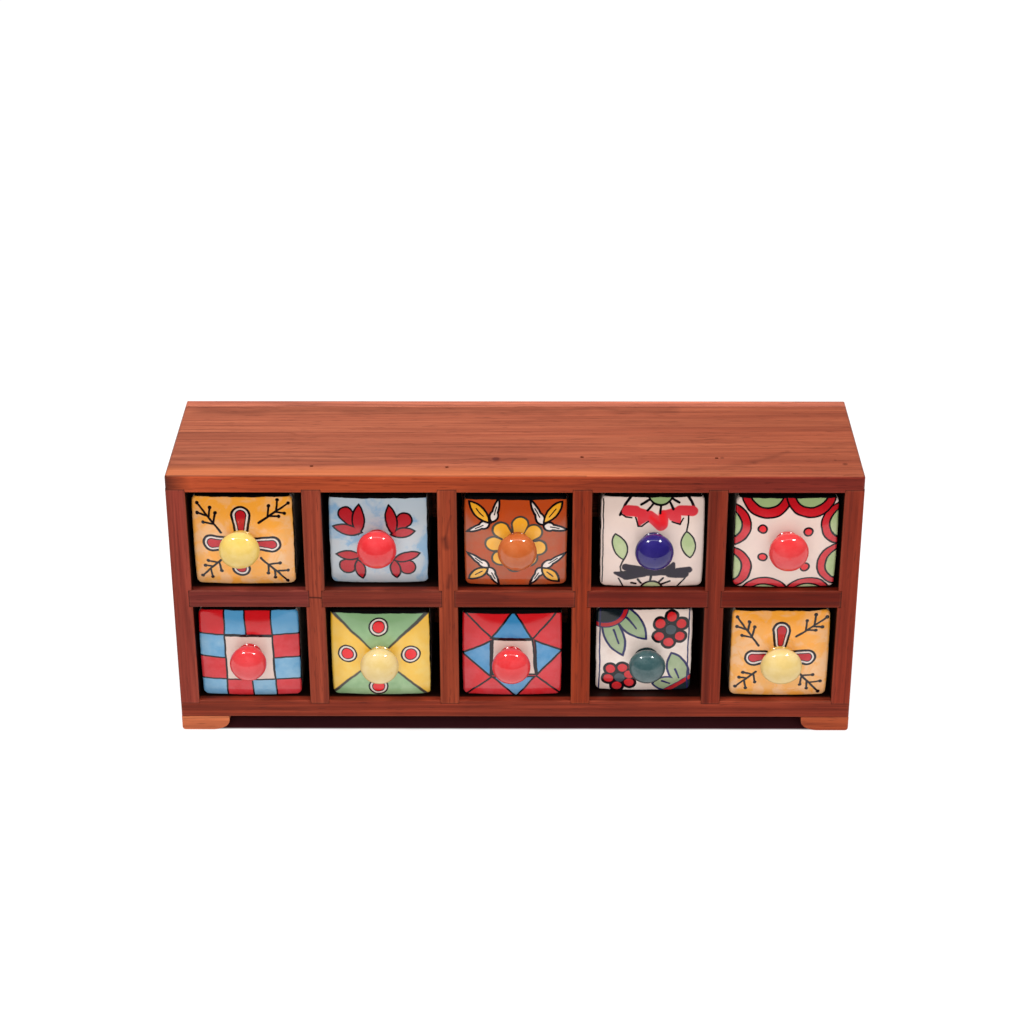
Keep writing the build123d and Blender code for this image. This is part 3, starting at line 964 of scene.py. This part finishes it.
# Quartered front: green above and below, yellow at the sides, a red bullseye in each quarter
quarters = {
    "diagonals": [((-28.8, 28.4), (25.6, -27.6)), ((28.5, 28.2), (-28.3, -26.4))],
    "seam": 1.0,  # softness of the colours' edge
    "brush": [
        ((-30, 29.4), (-4, 2.6), 1.0, 0.5),
        ((30, 29.4), (4, 4.4), 1.4, 0.6),
        ((-29.6, -27.6), (-6, -5), 1.0, 0.5),
        ((27.4, -29.2), (4, -5.4), 1.0, 0.5),
    ],
    "brushSoft": 0.3,
    # middles of the bullseyes, as discs of no size that the rings grow from
    "bullseyes": [((-0.9, 18.4), 0.0), ((-19.6, 0.4), 0.0), ((17.4, 0.2), 0.0), ((-1.9, -22.2), 0.0)],
    "rings": [(5.9, "ink"), (4.9, "white"), (3.9, "ink"), (3.3, "brightRed")],
}


def paintQuarters(canvas, look):
    mixPaint(canvas, "quarterYellow")
    sides = joined(canvas, [straight(canvas, *ends) for ends in look["diagonals"]], "MULTIPLY")
    paintIn(canvas, sides, "quarterGreen", look["seam"])
    paintIn(canvas, each(canvas, stroke, look["brush"]), "brushGrey", look["brushSoft"])
    layered(canvas, each(canvas, disc, look["bullseyes"]), look["rings"])


# Red front with a blue four-pointed star about a cream square
star = {
    "square": [(-11.6, -13.6), (13.8, -13.2), (12.0, 10.2), (-11.3, 10.4)],
    "points": [
        [(-12.2, 11.2), (11.8, 11.0), (1.0, 28.8)],
        [(-29.0, 0.6), (-12.6, -14.6), (-12.4, 9.4)],
        [(14.6, -13.2), (29.0, 2.2), (13.4, 9.8)],
        [(2.4, -29.4), (13.2, -14.8), (-11.4, -15.2)],
    ],
    "seams": [
        ((-28.2, 28), (-12.4, 11.8)),
        ((26.6, 28), (12.6, 11.2)),
        ((-27.6, -28.6), (-12.6, -15.6)),
        ((28.8, -28), (14.4, -14.4)),
    ],
    "seam": 0.6,
    "line": 1.2,
}


def paintStar(canvas, look):
    mixPaint(canvas, "starRed")
    paintIn(canvas, each(canvas, stroke, look["seams"], look["seam"]), "ink")
    points = joined(canvas, [facet(canvas, corners) for corners in look["points"]])
    outlined(canvas, points, "starBlue", look["line"])
    outlined(canvas, facet(canvas, look["square"]), "cream", look["line"])


# White front: a ringed teal disc and leaves in two corners, a six-petalled red blossom in the others
cornerBlossoms = {
    "leaves": [
        [((-18.5, 30.5), (1.2, 9.0), 12.0), ((-23.5, 24.5), (-12.4, -2.2), 11.5)],
        [((16.2, -0.8), (24.5, -25), 12.0), ((5.4, -22.2), (22, -22.6), 10.0)],
    ],
    "ribs": [
        ((-10.5, 22.2), (-4.8, 15.5)),
        ((-18.0, 14.0), (-14.6, 5.6)),
        ((18.6, -12.4), (21, -18.6)),
        ((11, -20.6), (15.6, -22.6)),
    ],
    "rib": (0.75, 0.55),
    "disc": ((-23.8, 30.2), 0.0),  # a middle that the rings grow from
    "rings": [(15.0, "navy"), (14.3, "ringRed"), (12.0, "navy"), (11.4, "tealDark")],
    "corner": ((40, -8.8), (10.6, -28.2)),  # line that cuts off the lower right corner
    "stripes": [(0.5, "navy"), (0.0, "ringRed"), (-2.4, "tealDark")],
    "border": [(-26.0, -27.6), (26.0, -27.6), (26.0, 27.6), (-26.0, 27.6)],
    "borderLine": 0.9,
    "blossoms": [
        ((15.4, 14.6), [(16, 22.7), (21.7, 18.2), (20.7, 10), (14.2, 6.6), (8.7, 10.6), (9.3, 18.6)]),
        (
            (-13.9, -18.2),
            [(-12.3, -11), (-8.3, -15.7), (-8.3, -21.6), (-15.6, -24.1), (-20.6, -18.9), (-19.4, -12.2)],
        ),
    ],
    "petal": 2.8,
    "surround": 4.5,
    "heart": 3.2,
    "line": 1.35,
}


def paintCornerBlossoms(canvas, look):
    mixPaint(canvas, "milk")
    for pair in look["leaves"]:
        outlined(canvas, each(canvas, leaf, pair), "leafGreen", look["line"], "navy")
    paintIn(canvas, each(canvas, stroke, look["ribs"], *look["rib"]), "navy")
    layered(canvas, disc(canvas, *look["disc"]), look["rings"])
    layered(canvas, straight(canvas, *look["corner"]), look["stripes"])
    paintIn(canvas, lined(canvas, facet(canvas, look["border"]), look["borderLine"]), "navy")
    for heart, petals in look["blossoms"]:
        around = joined(canvas, [disc(canvas, petal, look["surround"]) for petal in petals])
        paintIn(canvas, joined(canvas, (around, disc(canvas, heart, look["surround"]))), "ink")
        paintIn(canvas, grown(canvas, around, look["petal"] - look["surround"]), "blossomRed")
        paintIn(canvas, disc(canvas, heart, look["heart"]), "blossomGrey")


# Glazed earthenware: white body under a clear, slightly rippled glaze; the paint lies under it
glazeLook = {
    "roughness": 0.1,
    "ior": 1.5,
    "wobbleMm": 0.75,  # how far the brush wanders
    "wobbleSizeMm": 9.0,
    "washMm": 11.0,
    "washRange": (0.36, 0.64, 0.25, 1.0),  # the wash's noise from full to thin, and the tones there
    # painted shade towards the top of each face: where it starts and is full, and the wash's tone there
    "shadedTopShare": (0.25, 0.75),  # of the half height: pale wash below the first, full colour above the second
    "shadedTopTone": 0.1,
    "rippleMm": 7.0,
    "ripple": (0.6, 0.035),  # strength, and height in mm
    "rimDepthMm": (2.6, 3.4),  # behind the face's edge: where the painted edge ends and the cream is bare
    "rimSoftMm": 0.15,
    "seedStep": 31.0,
    "seedStart": 5.0,
    "seedTurn": (1, 3, 2),  # how a front's seed moves its noises
}
# Which paint is on each front, and how wide the black edge is at the left, right, top and bottom (mm); at the
# sides and bottom that edge is partly black paint and partly painted shade of the gaps round the face
frontPaint = {
    "upper_drawer_1": (paintAmberTwigs, amberTwigs, (0.2, 0.6, 1.0, 0.8)),
    "upper_drawer_2": (paintBlueBuds, blueBuds, (0.4, 0.8, 2.2, 0.8)),
    "upper_drawer_3": (paintTerracottaDaisy, terracottaDaisy, (0.4, 0.5, 2.4, 0.8)),
    "upper_drawer_4": (paintHalfFlowers, halfFlowers, (0.6, 0.2, 1.0, 0.7)),
    "upper_drawer_5": (paintScallops, scallops, (0.3, 0.2, 1.0, 0.5)),
    "lower_drawer_1": (paintChecks, checks, (0.2, 0.4, 1.0, 0.7)),
    "lower_drawer_2": (paintQuarters, quarters, (0.2, 0.9, 2.6, 0.9)),
    "lower_drawer_3": (paintStar, star, (0.3, 0.4, 2.4, 0.7)),
    "lower_drawer_4": (paintCornerBlossoms, cornerBlossoms, (0.5, 0.6, 1.0, 0.7)),
    "lower_drawer_5": (paintAmberTwigs, {**amberTwigs, "petals": shortPetals}, (0.2, 0.2, 1.0, 0.7)),
}


def paintRim(canvas, look, depth, half, rim):
    # The paint stops a little way round the edge, where the cream body shows; the edge itself is black, at
    # the top as black paint, at the sides and bottom partly as black paint and partly as painted shade of the
    # gaps
    add, soft = canvas["add"], look["rimSoftMm"]
    bare = add("MapRange", [depth, *look["rimDepthMm"]])
    mixPaint(canvas, "cream", bare)
    left, right, top, bottom = rim
    sides = (
        straight(canvas, (-half[0] + left, 0), (-half[0] + left, -1)),
        straight(canvas, (half[0] - right, 0), (half[0] - right, 1)),
        straight(canvas, (0, -half[1] + bottom), (1, -half[1] + bottom)),
    )
    # black at the sides and bottom: partly black paint, partly painted shade of the gaps
    edge = add("MapRange", [joined(canvas, sides, "MAXIMUM"), -soft, soft])
    painted = add("Math", [1.0, bare], operation="SUBTRACT")
    edge = add("Math", [edge, painted], operation="MULTIPLY")
    over = straight(canvas, (0, half[1] - top), (-1, half[1] - top))
    over = add("MapRange", [over, -soft, soft])
    mixPaint(canvas, "black", add("Math", [edge, over], operation="MAXIMUM"))


def paintedGlaze(name, look, centre, half, seed):
    painter, design, rim = frontPaint[name]
    values = {"Roughness": look["roughness"], "IOR": look["ior"]}
    material, add, shader = newMaterial("paintedEarthenware_" + name, values)
    local = spotMm(add, centre)
    u, depth, v = add("SeparateXYZ", [local]).node.outputs
    flat = add("CombineXYZ", [u, v, 1.0])
    shift = tuple(seed * turn for turn in look["seedTurn"])
    seeded = add("VectorMath", [local, shift], operation="ADD")
    wavering = {"Vector": seeded, "Scale": 1 / look["wobbleSizeMm"], "Detail": 3.0}
    wander = add("TexNoise", wavering, output=1)
    wander = add("VectorMath", [wander, (0.5, 0.5, 0.5)], operation="SUBTRACT")  # to either side
    wobble = (look["wobbleMm"] * 2, look["wobbleMm"] * 2, 0)
    spot = add("VectorMath", [wander, wobble, flat], operation="MULTIPLY_ADD")
    wash = add("TexNoise", {"Vector": seeded, "Scale": 1 / look["washMm"], "Detail": 5.0, "Roughness": 0.6})
    wash = add("MapRange", [wash, *look["washRange"]])
    # painted shade: each face is darker towards its top, in the darker wash, and paler lower down
    pale, full = (half[1] * share for share in look["shadedTopShare"])
    paintedTopShade = add("MapRange", [v, full, pale, look["shadedTopTone"], 1.0])
    wash = add("Math", [wash, paintedTopShade], operation="MULTIPLY")
    canvas = {"add": add, "spot": spot, "wash": wash, "colour": paints["cream"][1]}
    painter(canvas, design)
    paintRim(canvas, look, depth, half, rim)
    ripple = add("TexNoise", {"Vector": seeded, "Scale": 1 / look["rippleMm"], "Detail": 2.0})
    finishLook(shader, canvas["colour"], ripple, *look["ripple"])
    return material


# The box behind the fronts: plain cream glaze, cloudy and speckled, and a bare biscuit underside
boxLook = {
    "cream": "#dcc7b6",
    "pale": "#ead9cb",
    "speck": "#8d6f55",
    "biscuit": "#c9a488",
    "ior": 1.5,
    "glazeRoughness": 0.14,
    "cloudMm": 14.0,
    "cloudBump": (0.5, 0.04),  # strength, and height in mm
    "speckMm": 5.6,  # from one speck to the next
    "speckEdge": (0.05, 0.09, 0.6, 0.0),  # of that spacing: from and to, and how strong there
    "clayRoughness": 0.85,
    "sandMm": 0.8,
    "sandBump": (0.4, 0.1),
}


def creamGlaze(look):
    # Glossy cream glaze over earthenware: soft clouds of tone and a few brown iron specks
    values = {"Roughness": look["glazeRoughness"], "IOR": look["ior"]}
    material, add, shader = newMaterial("creamGlazedEarthenware", values)
    spot = spotMm(add)
    cloud = add("TexNoise", {"Vector": spot, "Scale": 1 / look["cloudMm"], "Detail": 4.0})
    colour = add("Mix", {0: cloud, 6: look["cream"], 7: look["pale"]}, **blend)
    away = add("TexVoronoi", {"Vector": spot, "Scale": 1 / look["speckMm"]})
    speck = add("MapRange", [away, *look["speckEdge"]])
    colour = add("Mix", {0: speck, 6: colour, 7: look["speck"]}, **blend)
    finishLook(shader, colour, cloud, *look["cloudBump"])
    return material


def biscuit(look):
    # Unglazed fired clay: matt, slightly sandy
    values = {"Roughness": look["clayRoughness"], "IOR": look["ior"]}
    material, add, shader = newMaterial("biscuitEarthenware", values)
    sand = add("TexNoise", {"Vector": spotMm(add), "Scale": 1 / look["sandMm"], "Detail": 4.0})
    colour = add("Mix", {0: sand, 6: look["biscuit"], 7: look["pale"]}, **blend)
    finishLook(shader, colour, sand, *look["sandBump"])
    return material


# Shape of one cast drawer (mm): pillowed front slab and the box behind it
drawerShape = {
    "length": 80.0,
    "slabThickness": 8.0,
    "crown": 2.9,
    "crownBall": 0.35,  # share of a ball in the crown; the rest is a pillow whose edges all lie level
    "pillowPower": 2.6,
    "edgeBack": 0.9,  # the face's edge lies this far behind the plane of the slab's front edge
    "corner": 3.4,
    "cornerLeast": 0.6,
    "edgeRound": 1.3,
    "edgeBow": 0.5,
    # rings of the slab's back and sides: share of the outline, and depth before the back
    "backRings": [(0.3, 0.0), (0.8, 0.0), (0.972, 0.0), (0.99, 0.25), (1.0, 1.0), (1.0, 3.2)],
    "faceCorner": 2.62,  # corner of the rings within the face
    "faceRings": (0.97, 0.93, 0.88, 0.82, 0.75, 0.67, 0.58, 0.48, 0.37, 0.25, 0.12),  # shares of its outline
    "setIn": 0.8,
    "boxStart": 4.0,  # how deep in the slab the box starts
    "drop": 6.0,
    "wall": 4.5,
    "floor": 5.0,
    "boxCorner": 6.0,
    "cavityCorner": 5.0,
    "bottomRound": 2.0,
    "floorRound": 2.5,
    "floorCornerShare": 0.8,  # how the cavity's corner tightens along the floor's round
    "rimRound": 0.9,
    "underRing": (9.0, 1.5),  # last ring under the box: how far within the round, and its corner
    "floorRing": (8.0, 1.2),  # the same on the inner floor
    "bareMm": 0.2,  # faces lower than this are bare of glaze
    "handMm": 0.16,  # unevenness of a hand-finished cast
    "handSizeMm": 17.0,
    "handDepthShare": 0.6,
    "seedStep": 3.7,
}
outlineSteps = {"corner": 7, "side": 10, "edge": 6, "bottom": 5, "rim": 4}


def quarterRound(steps, radius):
    # How far a quarter round has come one way and still has to go the other, in even steps
    for step in range(steps + 1):
        angle = math.radians(90 * step / steps)
        yield radius * (1 - math.cos(angle)), radius * (1 - math.sin(angle))


def roundedOutline(halfX, halfY, radius):
    # Points anticlockwise round a rectangle with rounded corners, evenly counted so that rings match
    steps, sides = outlineSteps["corner"], outlineSteps["side"]
    arcs = []
    for signX, signY, start in ((1, -1, -90), (1, 1, 0), (-1, 1, 90), (-1, -1, 180)):
        centre = Vector((signX * (halfX - radius), signY * (halfY - radius)))
        angles = [math.radians(start + 90 * step / steps) for step in range(steps + 1)]
        arcs.append([centre + radius * Vector((math.cos(angle), math.sin(angle))) for angle in angles])
    points = []
    for arc, following in zip(arcs, arcs[1:] + arcs[:1]):
        points += arc
        points += [arc[-1].lerp(following[0], step / sides) for step in range(1, sides)]
    return points


def bridge(form, rings, materialIndex=0):
    # Quads between successive rings of points
    made = [[form.verts.new(point) for point in ring] for ring in rings]
    for low, high in zip(made, made[1:]):
        count = len(low)
        for place in range(count):
            after = (place + 1) % count
            quad = (low[place], low[after], high[after], high[place])
            form.faces.new(quad).material_index = materialIndex
    return made


def capped(form, ring, middle, materialIndex=0):
    # Closes a ring with triangles to a middle point
    tip = form.verts.new(middle)
    for place, vert in enumerate(ring):
        form.faces.new((vert, ring[(place + 1) % len(ring)], tip)).material_index = materialIndex


def slabRings(look, halfX, halfZ, seed):
    # Rings from the slab's back, round the edge, over the pillowed face to its middle
    def face(u, v):
        across, up = abs(u / halfX), abs(v / halfZ)
        ball = across**2 + up**2
        pillow = 1 - (1 - across ** look["pillowPower"]) * (1 - up ** look["pillowPower"])
        fall = look["crownBall"] * ball + (1 - look["crownBall"]) * pillow
        return look["edgeBack"] - look["crown"] * (1 - fall)

    def bowed(points, shrink=1.0):
        # the slab's sides are drawn in towards its corners
        for point in points:
            u, v = point.x * shrink, point.y * shrink
            across, up = min(abs(u) / halfX, 1), min(abs(v) / halfZ, 1)
            bowX = look["edgeBow"] * (v / halfZ) ** 2 * across
            bowZ = look["edgeBow"] * (u / halfX) ** 2 * up
            yield u - math.copysign(bowX, u), v - math.copysign(bowZ, v)

    def uneven(u, depth, v):
        size, amount = look["handSizeMm"], look["handMm"]
        shift = noise.noise_vector(Vector((u / size + seed, depth / size, v / size - seed))) * amount
        inX, inZ = math.copysign(abs(shift.x), u), math.copysign(abs(shift.z), v)
        return Vector((u - inX, depth + shift.y * look["handDepthShare"], v - inZ))

    back, edge = look["slabThickness"], look["edgeRound"]
    outline = roundedOutline(halfX, halfZ, look["corner"])
    rings = []
    for shrink, before in look["backRings"]:
        rings.append([uneven(u, back - before, v) for u, v in bowed(outline, shrink)])
    for inset, rise in quarterRound(outlineSteps["edge"], edge):
        corner = max(look["corner"] - inset, look["cornerLeast"])
        inner = roundedOutline(halfX - inset, halfZ - inset, corner)
        rings.append([uneven(u, face(u, v) + rise, v) for u, v in bowed(inner)])
    inner = roundedOutline(halfX - edge, halfZ - edge, look["faceCorner"])
    for shrink in look["faceRings"]:
        rings.append([uneven(u, face(u, v), v) for u, v in bowed(inner, shrink)])
    return rings, uneven(0, face(0, 0), 0), uneven(0, back, 0)


def boxRings(look, width, height):
    # Rings from under the box, up its outside, over the rim and down to the inner floor
    halfX = width / 2 - look["setIn"]
    halfY = (look["length"] - look["boxStart"]) / 2
    middle = look["boxStart"] + halfY
    rim, wall, floor = height - look["drop"], look["wall"], look["floor"]
    outer, inner = look["boxCorner"], look["cavityCorner"]

    def ring(inset, level, corner):
        return [(p.x, middle + p.y, level) for p in roundedOutline(halfX - inset, halfY - inset, corner)]

    within, corner = look["underRing"]
    rings = [ring(look["bottomRound"] + within, 0.0, corner)]
    for level, inset in quarterRound(outlineSteps["bottom"], look["bottomRound"]):
        rings.append(ring(inset, level, outer - inset))
    rings.append(ring(0, rim / 2, outer))
    for inset, below in quarterRound(outlineSteps["rim"], look["rimRound"]):
        rings.append(ring(inset, rim - below, outer - inset))
    for below, back in quarterRound(outlineSteps["rim"], look["rimRound"]):
        rings.append(ring(wall - back, rim - below, inner + back))
    rings.append(ring(wall, rim / 2, inner))
    for inset, above in quarterRound(outlineSteps["bottom"], look["floorRound"]):
        rings.append(ring(wall + inset, floor + above, inner - inset * look["floorCornerShare"]))
    within, corner = look["floorRing"]
    rings.append(ring(wall + look["floorRound"] + within, floor, corner))
    return rings, (0, middle, 0.0), (0, middle, floor)


def castDrawer(name, look, seed):
    paintedFace, glazed, bare = range(3)  # the piece's materials
    low, high = (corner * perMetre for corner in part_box(name + "_tray"))
    width, height = high.x - low.x, high.z - low.z
    foot = Vector(((low.x + high.x) / 2, high.y - look["length"], low.z))
    centre = foot + Vector((0, 0, height / 2))
    form = bmesh.new()

    def closedForm(rings, first, last, origin, sideIndex, firstIndex):
        made = bridge(form, [[(Vector(point) + origin) * mm for point in ring] for ring in rings], sideIndex)
        capped(form, made[-1], (Vector(last) + origin) * mm, sideIndex)
        capped(form, list(reversed(made[0])), (Vector(first) + origin) * mm, firstIndex)

    rings, tip, rear = slabRings(look, width / 2, height / 2, seed)
    closedForm(rings, rear, tip, centre, paintedFace, paintedFace)
    rings, under, inside = boxRings(look, width, height)
    closedForm(rings, under, inside, foot, glazed, bare)
    bmesh.ops.recalc_face_normals(form, faces=form.faces)
    bareLevel = (foot.z + look["bareMm"]) * mm
    for part in form.faces:
        part.smooth = True
        if part.material_index == glazed and all(corner.co.z < bareLevel for corner in part.verts):
            part.material_index = bare
    mesh = bpy.data.meshes.new(name + "_ceramic")
    form.to_mesh(mesh)
    form.free()
    return mesh, tuple(centre * mm), (width / 2, height / 2)


glazedBox = creamGlaze(boxLook)
bareClay = biscuit(boxLook)
for place, drawerName in enumerate(frontPaint):
    mesh, faceCentre, halfSize = castDrawer(drawerName, drawerShape, place * drawerShape["seedStep"])
    paintSeed = place * glazeLook["seedStep"] + glazeLook["seedStart"]
    painted = paintedGlaze(drawerName, glazeLook, faceCentre, halfSize, paintSeed)
    materials = (painted, glazedBox, bareClay)
    ceramic = newPiece(drawerName + "_ceramic", mesh, materials, drawerName, drawerName + "_glaze")
    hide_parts(drawerName + "_tray")
print("drawers:", len(frontPaint), "painted fronts on cast boxes")

# Glazed knobs: one thick colour with paler clouds, darker where it pools in the neck and in small pits
knobLook = {
    "roughness": 0.1,
    "ior": 1.52,
    "cloudMm": 9.0,
    "cloudEdge": (0.4, 0.68),  # where a cloud starts and is full in its noise
    "poolShare": (0.45, 0.75),  # of the way back through the knob: the pooled glaze starts and is full
    "poolAmount": 0.85,
    "pitMm": 2.2,
    "pitEdge": (0.7, 0.78, 0.0, 0.5),  # from and to in the noise, and how strong there
    "rippleMm": 6.0,
    "ripple": (0.5, 0.03),  # strength, and height in mm
}


def knobGlaze(name, look, tones):
    main, pale, deep = tones
    values = {"Roughness": look["roughness"], "IOR": look["ior"]}
    material, add, shader = newMaterial("colouredKnobGlaze_" + name, values)
    spot = spotMm(add)
    cloud = add("TexNoise", {"Vector": spot, "Scale": 1 / look["cloudMm"], "Detail": 4.0, "Roughness": 0.6})
    cloudy = add("MapRange", [cloud, *look["cloudEdge"]])
    colour = add("Mix", {0: cloudy, 6: main, 7: pale}, **blend)
    front, back = (corner.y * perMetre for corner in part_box(name + "_knob"))
    start, full = (front + (back - front) * share for share in look["poolShare"])
    depth = add("SeparateXYZ", [spot], output=1)
    pooled = add("MapRange", [depth, start, full, 0.0, look["poolAmount"]])
    pit = add("TexNoise", {"Vector": spot, "Scale": 1 / look["pitMm"], "Detail": 2.0})
    pits = add("MapRange", [pit, *look["pitEdge"]])
    for mask in (pooled, pits):
        colour = add("Mix", {0: mask, 6: colour, 7: deep}, **blend)
    ripple = add("TexNoise", {"Vector": spot, "Scale": 1 / look["rippleMm"], "Detail": 1.0})
    finishLook(shader, colour, ripple, *look["ripple"])
    return material


# No two knobs are thrown alike: width and height as shares of the CAD knob's, the CAD slot of the colour, and
# the glaze's main, pale and deep tones
knobs = {
    "upper_drawer_1": (1.06, 1.0, "knob_yellow", ("#d9b85e", "#dfc376", "#cf9e40")),
    "upper_drawer_2": (1.03, 1.03, "knob_red", ("#d03034", "#d64246", "#a51219")),
    "upper_drawer_3": (1.02, 1.01, "knob_brown", ("#b35829", "#ba6538", "#923f13")),
    "upper_drawer_4": (1.0, 0.99, "knob_navy", ("#241c61", "#31296d", "#110b44")),
    "upper_drawer_5": (1.02, 1.04, "knob_red", ("#d03537", "#d34748", "#b52124")),
    "lower_drawer_1": (0.97, 0.98, "knob_red", ("#cf393c", "#d5494c", "#b21d22")),
    "lower_drawer_2": (1.02, 1.0, "knob_yellow", ("#d5b976", "#dbc48e", "#cea24c")),
    "lower_drawer_3": (1.02, 1.0, "knob_red", ("#d13437", "#d5474a", "#ae1a1e")),
    "lower_drawer_4": (0.98, 0.93, "knob_teal", ("#365052", "#526768", "#12262a")),
    "lower_drawer_5": (1.1, 1.0, "knob_yellow", ("#d5b872", "#dbc38a", "#cf9e40")),
}
thrownLook = {"unevenMm": 0.14, "unevenSizeMm": 8.0}


def thrownKnob(name, look, wide, tall):
    low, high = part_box(name + "_knob")
    centre = (low + high) / 2
    radius = (high.x - low.x) / 2 * perMetre
    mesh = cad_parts[name + "_knob"].data.copy()
    mesh.materials.clear()
    for vert in mesh.vertices:
        spot = vert.co - centre
        bulge = 1 + look["unevenMm"] / radius * noise.noise(vert.co * perMetre / look["unevenSizeMm"])
        vert.co = centre + Vector((spot.x * wide * bulge, spot.y, spot.z * tall * bulge))
    return mesh


for drawerName, (wide, tall, knobSlot, tones) in knobs.items():
    glazed = knobGlaze(drawerName, knobLook, tones)
    thrown = thrownKnob(drawerName, thrownLook, wide, tall)
    knob = newPiece(drawerName + "_glazed_knob", thrown, (glazed,), drawerName, knobSlot)
    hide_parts(drawerName + "_knob")
print("knobs:", len(knobs), "thrown and glazed")
